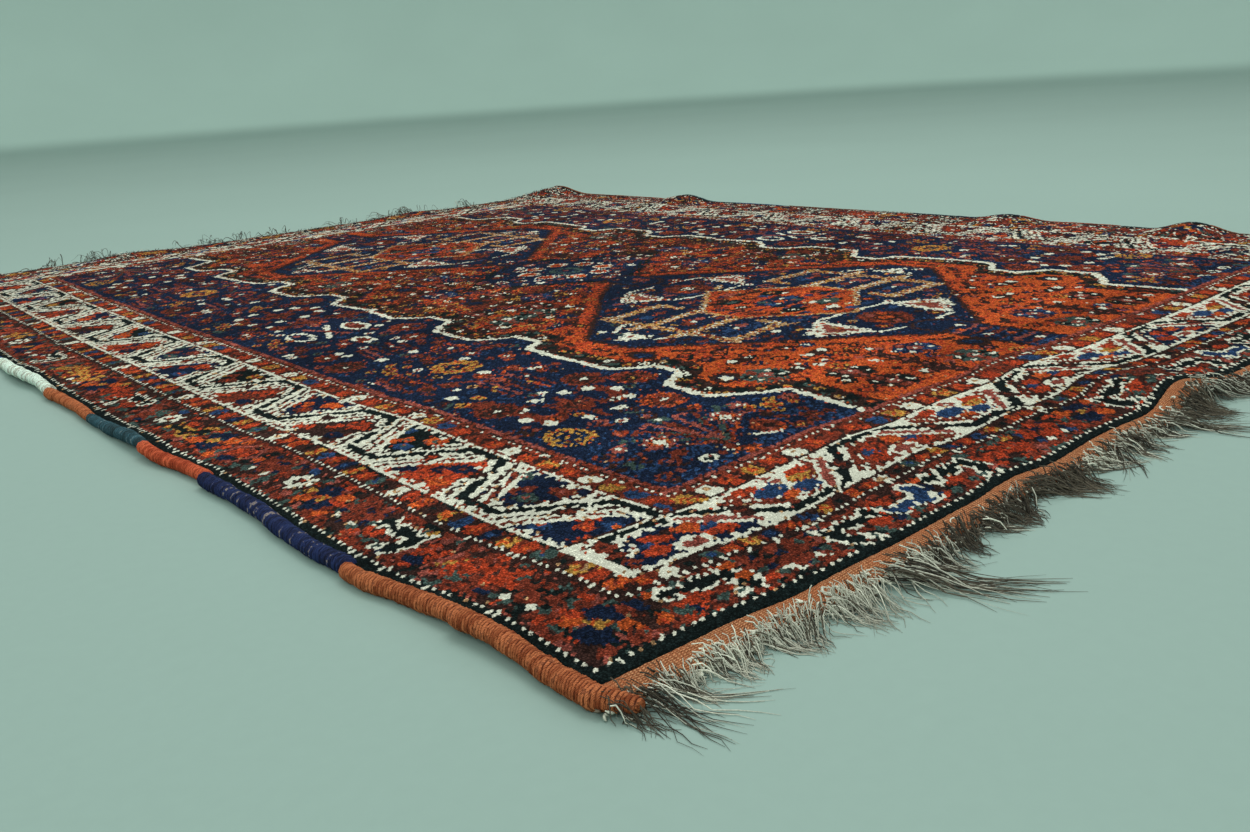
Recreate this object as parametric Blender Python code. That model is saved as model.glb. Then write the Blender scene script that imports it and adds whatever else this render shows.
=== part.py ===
"""A hand-knotted tribal rug lying on a floor: pile body, flat-woven ends, overcast selvedges and warp fringes.

Metres, +Z up. The origin is on the floor under the middle of the pile. +Y runs along the warps, from the
near end to the far end, and +X runs across the rug from the left selvedge to the right one.
"""

import math
import random

import bpy
import bmesh
from mathutils import Vector

# Driving dimensions
PILE_WIDTH = 1.570
PILE_LENGTH = 2.080
PILE_THICKNESS = 0.0085
PILE_EDGE_DROP = 0.0025
PILE_EDGE_ROUND = 0.006
KILIM_WIDTH = 0.019
KILIM_THICKNESS = 0.0030
STRIP_WIDTH = 0.008
STRIP_THICKNESS = 0.0040
CORD_SIDES = 8
CORD_RING_CLEARANCE = 0.004
GAP = 0.0004

# Grid of the pile body
PILE_ROWS = 44
SIDE_STEPS = (0.0, PILE_EDGE_ROUND, 0.035, 0.075, 0.125, 0.19, 0.28)
MIDDLE_COLUMNS = 12

# Fringe locks: number at each end, how far the row passes the pile's sides, and how a lock tapers and falls
LOCKS = 75
STRIP_OVERHANG = 0.009
LOCK_ROOT_SHARE = 0.62
LOCK_ROOT_HEIGHT = 0.0032
LOCK_TIP_WIDTH = 0.0020
LOCK_TIP_HEIGHT = 0.0010
LOCK_STATIONS = (0.30, 1.0)
LOCK_DOWN_AT = 0.5
LOCK_TURNED_AT = 0.7

# How far each side of the pile wanders outwards from a straight line: (metres from the start, metres out)
LEFT_WANDER = (
    (0.00, -0.014), (0.09, -0.012), (0.24, 0.001), (0.50, -0.001), (0.63, 0.008), (0.80, 0.011),
    (0.95, 0.012), (1.18, 0.015), (1.50, 0.010), (1.80, 0.004), (2.08, -0.006),
)
RIGHT_WANDER = (
    (0.00, -0.006), (0.25, 0.002), (0.38, -0.005), (0.55, 0.006), (0.71, -0.004), (0.95, 0.004),
    (1.30, 0.002), (1.57, -0.006), (1.80, 0.003), (2.08, -0.010),
)
NEAR_WANDER = (
    (0.00, -0.001), (0.09, 0.000), (0.17, 0.006), (0.24, 0.009), (0.34, 0.001), (0.41, -0.005),
    (0.46, 0.001), (0.54, -0.004), (0.61, -0.001), (0.69, -0.011), (0.80, 0.002), (1.00, 0.005),
    (1.25, -0.003), (1.57, 0.000),
)
FAR_WANDER = ((0.00, -0.004), (0.35, 0.004), (0.70, -0.003), (1.05, 0.005), (1.57, -0.006))

# Ripples where the cloth stands off the floor: (side, metres along it, height, half width, reach inwards)
RIPPLES = (
    ("right", 0.38, 0.015, 0.075, 0.16),
    ("right", 0.71, 0.010, 0.085, 0.13),
    ("right", 1.57, 0.013, 0.095, 0.18),
    ("right", 2.08, 0.018, 0.120, 0.20),
    ("left", 0.10, 0.003, 0.080, 0.07),
    ("left", 0.66, 0.004, 0.090, 0.08),
    ("left", 1.06, 0.005, 0.110, 0.09),
    ("near", 0.24, 0.004, 0.100, 0.07),
    ("near", 0.69, 0.010, 0.080, 0.12),
    ("near", 1.15, 0.005, 0.120, 0.09),
    ("far", 0.42, 0.006, 0.120, 0.10),
    ("far", 1.10, 0.005, 0.130, 0.09),
)

# Overcast sections from the near end: (wool, length along the selvedge, cord diameter)
LEFT_SECTIONS = (
    ("rust", 0.140, 0.0120), ("rust", 0.120, 0.0104), ("navy", 0.265, 0.0112), ("scarlet", 0.130, 0.0106),
    ("teal", 0.164, 0.0102), ("rust", 0.157, 0.0108), ("ivory", 0.225, 0.0116), ("blue", 0.150, 0.0106),
    ("scarlet", 0.205, 0.0104), ("navy", 0.190, 0.0112), ("teal", 0.145, 0.0102), ("rust", 0.0, 0.0110),
)
RIGHT_SECTIONS = (
    ("navy", 0.210, 0.0112), ("rust", 0.165, 0.0106), ("teal", 0.150, 0.0104), ("scarlet", 0.185, 0.0108),
    ("navy", 0.240, 0.0110), ("ivory", 0.120, 0.0114), ("rust", 0.205, 0.0108), ("blue", 0.160, 0.0104),
    ("teal", 0.175, 0.0106), ("scarlet", 0.190, 0.0106), ("rust", 0.0, 0.0112),
)

# How the locks lie: (metres across the end, swing to the right in degrees, length)
NEAR_LOCKS = (
    (0.00, 6.0, 0.058), (0.04, 0.0, 0.052), (0.09, -4.0, 0.040), (0.14, -6.0, 0.046), (0.19, -8.0, 0.052),
    (0.205, 4.0, 0.060), (0.225, 16.0, 0.094), (0.245, 10.0, 0.036), (0.32, 8.0, 0.032), (0.37, 12.0, 0.038),
    (0.43, 6.0, 0.042), (0.50, 6.0, 0.044), (0.58, 24.0, 0.054), (0.66, 14.0, 0.056), (0.78, 24.0, 0.064),
    (1.00, 14.0, 0.056), (1.20, -4.0, 0.048), (1.40, -8.0, 0.050), (1.57, -4.0, 0.046),
)
FAR_LOCKS = (
    (0.00, -8.0, 0.040), (0.25, 10.0, 0.050), (0.50, -12.0, 0.044), (0.80, 6.0, 0.056), (1.10, -8.0, 0.048),
    (1.35, 14.0, 0.052), (1.57, 4.0, 0.040),
)
LOCK_SWING_SPREAD = 2.0
LOCK_LENGTH_SPREAD = 0.008

# Wool colours, linear RGB
WOOLS = {
    "pile": (0.130, 0.045, 0.040),
    "kilim": (0.480, 0.190, 0.090),
    "rust": (0.420, 0.130, 0.050),
    "navy": (0.014, 0.020, 0.070),
    "scarlet": (0.480, 0.075, 0.030),
    "teal": (0.035, 0.085, 0.095),
    "ivory": (0.620, 0.640, 0.540),
    "blue": (0.020, 0.050, 0.170),
    "warp": (0.210, 0.190, 0.170),
}
WOOL_ROUGHNESS = 0.92


def clear_scene():
    """Removes every object that the file opened with."""
    for thing in list(bpy.data.objects):
        bpy.data.objects.remove(thing, do_unlink=True)


def wool(name):
    """The material of one dyed wool."""
    found = bpy.data.materials.get(name + "_wool")
    if found:
        return found
    made = bpy.data.materials.new(name + "_wool")
    made.use_nodes = True
    shader = made.node_tree.nodes["Principled BSDF"]
    shader.inputs["Base Color"].default_value = (*WOOLS[name], 1.0)
    shader.inputs["Roughness"].default_value = WOOL_ROUGHNESS
    shader.inputs["Metallic"].default_value = 0.0
    return made


def new_object(name, bm, material, parent):
    """Turns a bmesh into a named, smooth-shaded object."""
    bmesh.ops.recalc_face_normals(bm, faces=bm.faces)
    mesh = bpy.data.meshes.new(name)
    bm.to_mesh(mesh)
    bm.free()
    mesh.materials.append(material)
    mesh.shade_smooth()
    mesh.set_sharp_from_angle(angle=math.radians(50))
    made = bpy.data.objects.new(name, mesh)
    bpy.context.scene.collection.objects.link(made)
    made.parent = parent
    return made


def smooth_step(share):
    """Eases from 0 to 1."""
    share = min(1.0, max(0.0, share))
    return share * share * (3.0 - 2.0 * share)


def along_table(table, place, column=1):
    """A table's column at a place, eased between its rows."""
    if place <= table[0][0]:
        return table[0][column]
    for before, after in zip(table, table[1:]):
        if place <= after[0]:
            share = smooth_step((place - before[0]) / (after[0] - before[0]))
            return before[column] + (after[column] - before[column]) * share
    return table[-1][column]


def lift(across, along):
    """Height of the cloth's underside above the floor, at metres from the left side and from the near end."""
    from_side = {
        "left": (across, along),
        "right": (PILE_WIDTH - across, along),
        "near": (along, across),
        "far": (PILE_LENGTH - along, across),
    }
    height = 0.0
    for side, place, top, half_width, reach in RIPPLES:
        inwards, beside = from_side[side]
        offset = abs(beside - place) / half_width
        if offset < 1.0 and inwards < reach:
            hump = math.cos(offset * math.pi / 2) ** 2
            fade = 1.0 - smooth_step(max(0.0, inwards) / reach)
            height = max(height, top * hump * fade)
    return height


def place_on_rug(across, along):
    """The flat (x, y) of a point given in metres from the left side and from the near end."""
    s, t = across / PILE_WIDTH, along / PILE_LENGTH
    left = along_table(LEFT_WANDER, along)
    right = along_table(RIGHT_WANDER, along)
    near = along_table(NEAR_WANDER, across)
    far = along_table(FAR_WANDER, across)
    s_in, t_in = min(1.0, max(0.0, s)), min(1.0, max(0.0, t))
    x = across - PILE_WIDTH / 2 - (1.0 - s_in) * left + s_in * right
    y = along - PILE_LENGTH / 2 - (1.0 - t_in) * near + t_in * far
    return x, y


def column_places():
    """Metres across at each column of the pile grid, closer together near the sides."""
    first, last = SIDE_STEPS[-1], PILE_WIDTH - SIDE_STEPS[-1]
    middle = [first + (last - first) * i / MIDDLE_COLUMNS for i in range(1, MIDDLE_COLUMNS)]
    return list(SIDE_STEPS) + middle + [PILE_WIDTH - step for step in reversed(SIDE_STEPS)]


def row_places():
    """Metres along at each row of the pile grid, with a narrow row at each end for the rounded edge."""
    inner = [PILE_LENGTH * i / PILE_ROWS for i in range(1, PILE_ROWS)]
    return [0.0, PILE_EDGE_ROUND] + inner + [PILE_LENGTH - PILE_EDGE_ROUND, PILE_LENGTH]


def close_slab(bm, bottom, top):
    """Joins two grids of vertices into one closed slab."""
    rows, columns = len(bottom), len(bottom[0])
    for r in range(rows - 1):
        for c in range(columns - 1):
            bm.faces.new((top[r][c], top[r][c + 1], top[r + 1][c + 1], top[r + 1][c]))
            bm.faces.new((bottom[r + 1][c], bottom[r + 1][c + 1], bottom[r][c + 1], bottom[r][c]))
    rim = [(0, c) for c in range(columns)] + [(r, columns - 1) for r in range(1, rows)]
    rim += [(rows - 1, c) for c in range(columns - 2, -1, -1)] + [(r, 0) for r in range(rows - 2, 0, -1)]
    for (r0, c0), (r1, c1) in zip(rim, rim[1:] + rim[:1]):
        bm.faces.new((bottom[r0][c0], bottom[r1][c1], top[r1][c1], top[r0][c0]))


def build_pile_body(parent):
    """The knotted ground and its pile, one slab that follows the outline and the ripples."""
    across_all, along_all = column_places(), row_places()
    bm = bmesh.new()
    bottom, top = [], []
    for along in along_all:
        low_row, high_row = [], []
        for across in across_all:
            x, y = place_on_rug(across, along)
            under = lift(across, along)
            at_rim = across in (0.0, PILE_WIDTH) or along in (0.0, PILE_LENGTH)
            drop = PILE_EDGE_DROP if at_rim else 0.0
            low_row.append(bm.verts.new((x, y, under)))
            high_row.append(bm.verts.new((x, y, under + PILE_THICKNESS - drop)))
        bottom.append(low_row)
        top.append(high_row)
    close_slab(bm, bottom, top)
    return new_object("pile_body", bm, wool("pile"), parent)


def rim_point(side, place):
    """A point (x, y, lift) on the rim of the pile body, straight between the corners of its grid."""
    places = column_places() if side in ("near", "far") else row_places()
    index = max(i for i, start in enumerate(places[:-1]) if start <= max(0.0, place))
    start, stop = places[index], places[index + 1]
    ends = []
    for at in (start, stop):
        corner = {"near": (at, 0.0), "far": (at, PILE_LENGTH), "left": (0.0, at), "right": (PILE_WIDTH, at)}[side]
        ends.append(Vector((*place_on_rug(*corner), lift(*corner))))
    share = min(1.0, max(0.0, (place - start) / (stop - start)))
    return ends[0].lerp(ends[1], share)


def end_line(end, outwards, places):
    """Points along one end of the rug, a distance outwards from its pile."""
    points = []
    for across in places:
        point = rim_point(end, across)
        point.x += across - min(PILE_WIDTH, max(0.0, across))
        point.y += -outwards if end == "near" else outwards
        points.append(point)
    return points


def build_kilim_end(end, parent):
    """The flat-woven band past the last row of knots."""
    bm = bmesh.new()
    lines = [end_line(end, out, column_places()) for out in (GAP, KILIM_WIDTH)]
    bottom = [[bm.verts.new((x, y, z)) for x, y, z in line] for line in lines]
    top = [[bm.verts.new((x, y, z + KILIM_THICKNESS)) for x, y, z in line] for line in lines]
    close_slab(bm, bottom, top)
    return new_object("kilim_end_" + end, bm, wool("kilim"), parent)


def selvedge_point(side, along, radius):
    """Centre of the overcast cord beside the pile, at a distance along the rug."""
    beside = rim_point(side, along)
    past_the_pile = along - min(PILE_LENGTH, max(0.0, along))
    outwards = -1.0 if side == "left" else 1.0
    return beside + Vector((outwards * (radius + GAP), past_the_pile, radius))


def cord_places(start, stop):
    """Distances along the rug at which one section of cord has a ring."""
    first, last = start + CORD_RING_CLEARANCE, stop - CORD_RING_CLEARANCE
    between = [place for place in row_places() if first < place < last]
    return [start + GAP / 2] + between + [stop - GAP / 2]


def build_selvedge(side, sections, parent):
    """The overcast cord down one side, one closed solid for each wool."""
    start, end = -KILIM_WIDTH, PILE_LENGTH + KILIM_WIDTH
    place = start
    for number, (colour, length, diameter) in enumerate(sections, 1):
        stop = end if number == len(sections) else place + length
        radius = diameter / 2
        centres = [selvedge_point(side, along, radius) for along in cord_places(place, stop)]
        bm = bmesh.new()
        rings = []
        for centre in centres:
            ring = []
            for k in range(CORD_SIDES):
                angle = 2 * math.pi * (k + 0.5) / CORD_SIDES
                offset = Vector((radius * math.cos(angle), 0.0, radius * math.sin(angle)))
                ring.append(bm.verts.new(centre + offset))
            rings.append(ring)
        for ring, following in zip(rings, rings[1:]):
            for k in range(CORD_SIDES):
                n = (k + 1) % CORD_SIDES
                bm.faces.new((ring[k], ring[n], following[n], following[k]))
        bm.faces.new(rings[0])
        bm.faces.new(rings[-1])
        new_object(f"selvedge_{side}_{number:02d}_{colour}", bm, wool(colour), parent)
        place = stop


def lock_sections(end, root, root_width, swing, length):
    """Four corners of a lock at each station, from its root on the strip out to its tip on the floor."""
    outwards = -1.0 if end == "near" else 1.0
    rings = []
    for share in LOCK_STATIONS:
        bend = math.radians(swing) * smooth_step(share / LOCK_TURNED_AT)
        heading = Vector((math.sin(bend), outwards * math.cos(bend), 0.0))
        beside = Vector((math.cos(bend), -outwards * math.sin(bend), 0.0))
        centre = Vector((root.x, root.y, 0.0)) + heading * length * share
        half = (root_width + (LOCK_TIP_WIDTH - root_width) * share) / 2
        height = LOCK_ROOT_HEIGHT + (LOCK_TIP_HEIGHT - LOCK_ROOT_HEIGHT) * share
        raised = root.z * (1.0 - smooth_step(share / LOCK_DOWN_AT))
        low, high = Vector((0, 0, raised)), Vector((0, 0, raised + height))
        rings.append([centre - beside * half + low, centre + beside * half + low,
                      centre + beside * half + high, centre - beside * half + high])
    return rings


def build_fringe(end, table, seed, parent):
    """The row of twisted warp ends with the locks that grow out of it, one closed solid."""
    chance = random.Random(seed)
    count = LOCKS * 2
    step = (PILE_WIDTH + 2 * STRIP_OVERHANG) / count
    shift = step * (LOCK_ROOT_SHARE - 0.5)
    places = [step * i - STRIP_OVERHANG for i in range(count + 1)]
    inner = end_line(end, KILIM_WIDTH + GAP, places)
    outer = end_line(end, KILIM_WIDTH + STRIP_WIDTH, places)
    bm = bmesh.new()

    def column(line, height):
        return [bm.verts.new(point + Vector((shift if i % 2 else -shift, 0.0, height)))
                for i, point in enumerate(line)]

    inner_low, inner_high = column(inner, 0.0), column(inner, STRIP_THICKNESS)
    outer_low, outer_high = column(outer, 0.0), column(outer, STRIP_THICKNESS)
    for i in range(count):
        bm.faces.new((inner_high[i], inner_high[i + 1], outer_high[i + 1], outer_high[i]))
        bm.faces.new((outer_low[i], outer_low[i + 1], inner_low[i + 1], inner_low[i]))
        bm.faces.new((inner_low[i], inner_low[i + 1], inner_high[i + 1], inner_high[i]))
        root = [outer_low[i], outer_low[i + 1], outer_high[i + 1], outer_high[i]]
        if i % 2:
            bm.faces.new(root)
            continue
        middle = (root[0].co + root[1].co) / 2
        across = middle.x + PILE_WIDTH / 2
        swing = along_table(table, across) + chance.uniform(-1, 1) * LOCK_SWING_SPREAD
        length = along_table(table, across, 2) + chance.uniform(-1, 1) * LOCK_LENGTH_SPREAD
        width = (root[1].co - root[0].co).length
        ring = root
        for corners in lock_sections(end, middle, width, swing, length):
            following = [bm.verts.new(corner) for corner in corners]
            for k in range(4):
                n = (k + 1) % 4
                bm.faces.new((ring[k], ring[n], following[n], following[k]))
            ring = following
        bm.faces.new(ring)
    for side in (0, -1):
        bm.faces.new((inner_low[side], outer_low[side], outer_high[side], inner_high[side]))
    return new_object("warp_fringe_" + end, bm, wool("warp"), parent)


def main():
    """Builds the whole rug under one empty."""
    clear_scene()
    rug = bpy.data.objects.new("rug", None)
    bpy.context.scene.collection.objects.link(rug)
    build_pile_body(rug)
    for end in ("near", "far"):
        build_kilim_end(end, rug)
    build_selvedge("left", LEFT_SECTIONS, rug)
    build_selvedge("right", RIGHT_SECTIONS, rug)
    build_fringe("near", NEAR_LOCKS, 11, rug)
    build_fringe("far", FAR_LOCKS, 23, rug)


main()
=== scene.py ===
import math

import bpy
import numpy as np
from bpy.props import FloatProperty, FloatVectorProperty, IntProperty, PointerProperty
from mathutils import Euler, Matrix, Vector


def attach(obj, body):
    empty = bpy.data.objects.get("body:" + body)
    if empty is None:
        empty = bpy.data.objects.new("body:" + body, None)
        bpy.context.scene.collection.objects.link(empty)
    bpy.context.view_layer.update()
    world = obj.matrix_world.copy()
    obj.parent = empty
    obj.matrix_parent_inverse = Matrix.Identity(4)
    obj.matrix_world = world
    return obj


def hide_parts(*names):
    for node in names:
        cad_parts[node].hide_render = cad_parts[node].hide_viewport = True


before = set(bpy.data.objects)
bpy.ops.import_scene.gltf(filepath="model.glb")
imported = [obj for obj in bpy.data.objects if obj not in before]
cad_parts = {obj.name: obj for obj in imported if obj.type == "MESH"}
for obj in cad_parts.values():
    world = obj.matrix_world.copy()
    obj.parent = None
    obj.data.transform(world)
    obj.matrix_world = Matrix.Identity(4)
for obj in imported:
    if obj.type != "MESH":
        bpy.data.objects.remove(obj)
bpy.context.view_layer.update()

bl_info = {
    "name": "Shiraz rug",
    "version": (1, 0, 0),
    "blender": (4, 5, 0),
    "location": "View3D > Sidebar > Rug",
    "description": "Knots, binds and fringes a tribal rug around its packed solids",
    "category": "Object",
}

# The cloth's driving sizes, in metres, as its solids have them
PILE_WIDTH = 1.570
PILE_LENGTH = 2.080
PILE_THICKNESS = 0.0085
KILIM_WIDTH = 0.019
STRIP_WIDTH = 0.008
CORD_TAIL = 0.013
STRIP_OVERHANG = 0.009
SEAM = 0.0004

# How far each rim of the pile wanders outwards: (metres from the start, metres out)
LEFT_WANDER = (
    (0.00, -0.014), (0.09, -0.012), (0.24, 0.001), (0.50, -0.001), (0.63, 0.008), (0.80, 0.011),
    (0.95, 0.012), (1.18, 0.015), (1.50, 0.010), (1.80, 0.004), (2.08, -0.006),
)
RIGHT_WANDER = (
    (0.00, -0.006), (0.25, 0.002), (0.38, -0.005), (0.55, 0.006), (0.71, -0.004), (0.95, 0.004),
    (1.30, 0.002), (1.57, -0.006), (1.80, 0.003), (2.08, -0.010),
)
NEAR_WANDER = (
    (0.00, -0.001), (0.09, 0.000), (0.17, 0.006), (0.24, 0.009), (0.34, 0.001), (0.41, -0.005),
    (0.46, 0.001), (0.54, -0.004), (0.61, -0.001), (0.69, -0.011), (0.80, 0.002), (1.00, 0.005),
    (1.25, -0.003), (1.57, 0.000),
)
FAR_WANDER = ((0.00, -0.004), (0.35, 0.004), (0.70, -0.003), (1.05, 0.005), (1.57, -0.006))

# Ripples: (side, metres along it, height, half width, reach inwards)
RIPPLES = (
    ("right", 0.38, 0.015, 0.075, 0.16),
    ("right", 0.71, 0.010, 0.085, 0.13),
    ("right", 1.57, 0.013, 0.095, 0.18),
    ("right", 2.08, 0.018, 0.120, 0.20),
    ("left", 0.10, 0.003, 0.080, 0.07),
    ("left", 0.66, 0.004, 0.090, 0.08),
    ("left", 1.06, 0.005, 0.110, 0.09),
    ("near", 0.24, 0.004, 0.100, 0.07),
    ("near", 0.69, 0.010, 0.080, 0.12),
    ("near", 1.15, 0.005, 0.120, 0.09),
    ("far", 0.42, 0.006, 0.120, 0.10),
    ("far", 1.10, 0.005, 0.130, 0.09),
)

# Overcast sections from the near end: (wool, length along the selvedge, cord diameter)
SECTIONS = {
    "left": (
        ("rust", 0.140, 0.0120), ("rust", 0.120, 0.0104), ("navy", 0.265, 0.0112),
        ("scarlet", 0.130, 0.0106), ("teal", 0.164, 0.0102), ("rust", 0.157, 0.0108),
        ("ivory", 0.225, 0.0116), ("blue", 0.150, 0.0106), ("scarlet", 0.205, 0.0104),
        ("navy", 0.190, 0.0112), ("teal", 0.145, 0.0102), ("rust", 0.0, 0.0110),
    ),
    "right": (
        ("navy", 0.210, 0.0112), ("rust", 0.165, 0.0106), ("teal", 0.150, 0.0104),
        ("scarlet", 0.185, 0.0108), ("navy", 0.240, 0.0110), ("ivory", 0.120, 0.0114),
        ("rust", 0.205, 0.0108), ("blue", 0.160, 0.0104), ("teal", 0.175, 0.0106),
        ("scarlet", 0.190, 0.0106), ("rust", 0.0, 0.0112),
    ),
}

# Fringe: (metres across the end, swing to the right in degrees, length past the row of knots)
LOCKS = {
    "near": (
        (0.00, 6.0, 0.058), (0.03, 0.0, 0.056), (0.05, -14.0, 0.056), (0.10, -16.0, 0.054),
        (0.15, -19.0, 0.052), (0.19, -23.0, 0.052), (0.21, -6.0, 0.060), (0.225, 20.0, 0.094),
        (0.245, 10.0, 0.036), (0.32, 8.0, 0.032), (0.37, 12.0, 0.038), (0.43, 6.0, 0.042),
        (0.50, 6.0, 0.044), (0.58, 24.0, 0.054), (0.66, 14.0, 0.056), (0.78, 24.0, 0.064),
        (1.00, 14.0, 0.056), (1.20, -4.0, 0.048), (1.40, -8.0, 0.050), (1.57, -4.0, 0.046),
    ),
    "far": (
        (0.00, -8.0, 0.040), (0.25, 10.0, 0.050), (0.50, -12.0, 0.044), (0.80, 6.0, 0.056),
        (1.10, -8.0, 0.048), (1.35, 14.0, 0.052), (1.57, 4.0, 0.040),
    ),
}
# Single locks longer than the rest: (metres across the end, turn in degrees, reach)
LONG_LOCKS = {"near": ((0.222, 26.0, 0.092), (0.012, 8.0, 0.060), (0.60, 30.0, 0.078), (0.84, 34.0, 0.084)),
              "far": ()}

# Where wisps of the far fringe stand up: metres across the end
TUFTS = (0.26, 0.35, 0.60, 0.67, 0.76, 0.92, 1.045, 1.09, 1.13, 1.29)

# Share of undyed pale wool in the fringe: (metres across the end, share)
PALE_SHARE = {
    "near": (
        (0.00, 0.25), (0.025, 0.35), (0.05, 0.86), (0.19, 0.90), (0.22, 0.60), (0.26, 0.14), (0.42, 0.12),
        (0.46, 0.45), (0.56, 0.35), (0.64, 0.12), (0.80, 0.10), (1.10, 0.35), (1.57, 0.60),
    ),
    "far": ((0.00, 0.25), (0.60, 0.15), (1.00, 0.35), (1.57, 0.20)),
}

# The look's colours for the letters of DYES, in the same order
DYE_NAMES = ("madder", "navy", "ivory", "black", "brick", "gold",
             "blue", "brown", "teal", "orange", "rose", "tan")
PILE_BANDS = 4
# The pile's rim: (metres out, drop below the pile's top) at each point down its side
RIM_PROFILE = ((0.0006, 0.0012), (0.0010, 0.0032), (0.0004, 0.0060))
# The kilim across its width: (metres out from the pile, height above the floor)
KILIM_PROFILE = (
    (-0.0020, 0.0050), (0.0004, 0.0066), (0.0030, 0.0064), (0.0070, 0.0054), (0.0110, 0.0044),
    (0.0150, 0.0036), (0.0180, 0.0026), (0.0192, 0.0012), (0.0194, 0.0002),
)
# The winding of each selvedge: rings of points to a turn, sides, and fullness against its solid
WINDING = {"left": (4, 10, 1.18), "right": (2, 8, 0.80)}
SELVEDGE_TUCK = 0.0022
NOSE_LENGTH = 0.022
BIND_LENGTH = 0.003
TAIL_BEND_START = 0.008
TAIL_BEND = 0.45
# The fringe: share of short and of stray strands, how long the short ones are, thickness along a strand
SHORT_SHARE = 0.42
STRAY_SHARE = 0.16
SHORT_LENGTH = 0.46
LONG_REACH = 0.075
STRAND_TAPER = (1.1, 1.15, 1.05, 0.95, 0.8, 0.55, 0.2)
STRAND_RADIUS = 0.00036
STRAY_RADIUS = 0.00022
LOOP_RADIUS = 0.00085
ABOVE_FLOOR = 0.0001
# The back of the rug: radians of ribbing to a metre, rows and columns of its points, its two faces' heights
RIB_WAVES = 2026.0
GROUND_GRID = (56, 44)
GROUND_FACES = (0.0003, 0.0026)
KILIM_COLUMNS = 420
# Wools of the selvedge: (colour, colour of the flecks between its turns, how much of them)
WRAPS = {
    "rust": ((0.35, 0.092, 0.034), (0.09, 0.026, 0.018), 0.8),
    "navy": ((0.014, 0.020, 0.062), (0.42, 0.34, 0.26), 0.8),
    "scarlet": ((0.46, 0.075, 0.030), (0.12, 0.03, 0.02), 0.3),
    "teal": ((0.028, 0.062, 0.075), (0.30, 0.34, 0.34), 0.7),
    "ivory": ((0.56, 0.58, 0.48), (0.27, 0.28, 0.24), 0.6),
    "blue": ((0.022, 0.060, 0.20), (0.30, 0.34, 0.42), 0.3),
}
CAMERA_PLACE = (-1.0758, -1.4543, 0.3133)
CAMERA_TURN = (72.79, 3.684, -40.353)
CAMERA_LENS = 32.05
# Soft lights: (name, place, size, power, colour)
LIGHTS = (
    ("overhead", (0.9, 0.3, 4.2), 3.0, 80.0, (1.0, 1.0, 0.97)),
    ("window", (-3.4, -2.2, 3.2), 3.0, 42.0, (0.98, 1.0, 0.99)),
)
WORLD_COLOUR = (0.94, 0.99, 0.95)
WORLD_STRENGTH = 0.90
FLOOR_RADIUS = 8.0
FLOOR_SIDES = 96
COVE_RADIUS = 2.5
WALL_HEIGHT = 3.6


# The knot chart

KNOT = 0.0032
DYES = "rnwkbgudtopa"
# r madder red, n navy, w ivory, k black-green, b brick, g gold, u mid blue, d dark brown,
# t teal, o orange, p rose, a tan
DYE = {letter: number for number, letter in enumerate(DYES)}

SIDE_BANDS = (("guard", 2), ("ticks", 2), ("outer", 19), ("dots", 2), ("flowers", 6), ("main", 31),
              ("inner", 5), ("beads", 2), ("line", 3))
END_BANDS = (("guard", 2), ("ticks", 2), ("outer", 16), ("dots", 2), ("flowers", 4), ("main", 23),
             ("inner", 5), ("beads", 2), ("line", 3))
# Which of the bands is the ivory border, and which keep straight rows
MAIN = 5
STEADY_BANDS = (0, 1, 3)

# Charts of the small figures, one letter a knot, the near end at the bottom
SCORPION = (
    "....w...............w..",
    "...www...w..w.w....ww..",
    "..wkkww.wwkwkwkw.wwkw..",
    ".wkkkkkwwkkkkkkkwwkkw..",
    ".wkkkkkkkkkkkkkkkkkkw..",
    ".wwkkwwkkkkkkkkwkkkkw..",
    "..wkkw..wwkkkkw.wkkkkw.",
    "..wwww.rr.wwww..wkkkkww",
    "....rrrrrr..bb..wwkkkw.",
    "...rrrrrrrr.bbb.wkkkkw.",
    "....rrrrrr.bb..wkkkkww.",
    ".tt...rr..tt..wwkkkkkw.",
    "tttt.....ttt.wttwkkkww.",
    ".tt..bbb..t..wtww.kw...",
    "....bb.bb....ww...ww...",
)
HOUND = (
    "..............ggg...",
    "....rr.......ggngg..",
    "...rrrr..b...gnnng..",
    "..rrrrrr.bb..gnnnng.",
    "...rrrr......gnnnng.",
    "gg..rr..bb..ggnnnng.",
    "gngg.ggggggggnnnngg.",
    "gnnggnnnnnggnnnnng..",
    "gnnnnnnnnnnnnnnngg..",
    ".gnnnnnnnnnnnnnggg..",
    ".ggnnggggggnnngggnng",
    "..ggg.tt...ggnng.ggg",
    ".....tttt....gggg...",
)
LEAF = (
    "..........gg....g...",
    "....gg...gggg..gg...",
    "..gggggg.ggbg.ggbg..",
    ".gggbggggggg.ggggg..",
    "ggbggggbgggg.gggbgg.",
    ".gggggggggbgggggggg.",
    "ggggbgggg..ggbggggg.",
    ".ggg.gggg...ggggbgg.",
    "..g...gg.....ggggg..",
    "..rr.......r..ggg...",
    ".rrrr..tt.rrr..g....",
    "..rr..tttt.r........",
)
CLUSTER = (
    ".....rr....r....",
    "..n.rrrr..rrr.t.",
    ".nn..rr.n..r.tt.",
    ".rrrr.nnn.rrr.t.",
    "rrrrrrnbnrrrrrr.",
    "rrrrrrbrbrrrrrrr",
    ".rrrbrrrrrbrrrr.",
    ".nn.rrrrrrr.nn..",
    "nnn.rrrbrrr.nnt.",
    ".n.w.rrrrr.w.ttt",
    ".twww.rrr.www.t.",
    "ttt.w..n...w....",
    ".tt............."
)
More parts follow.
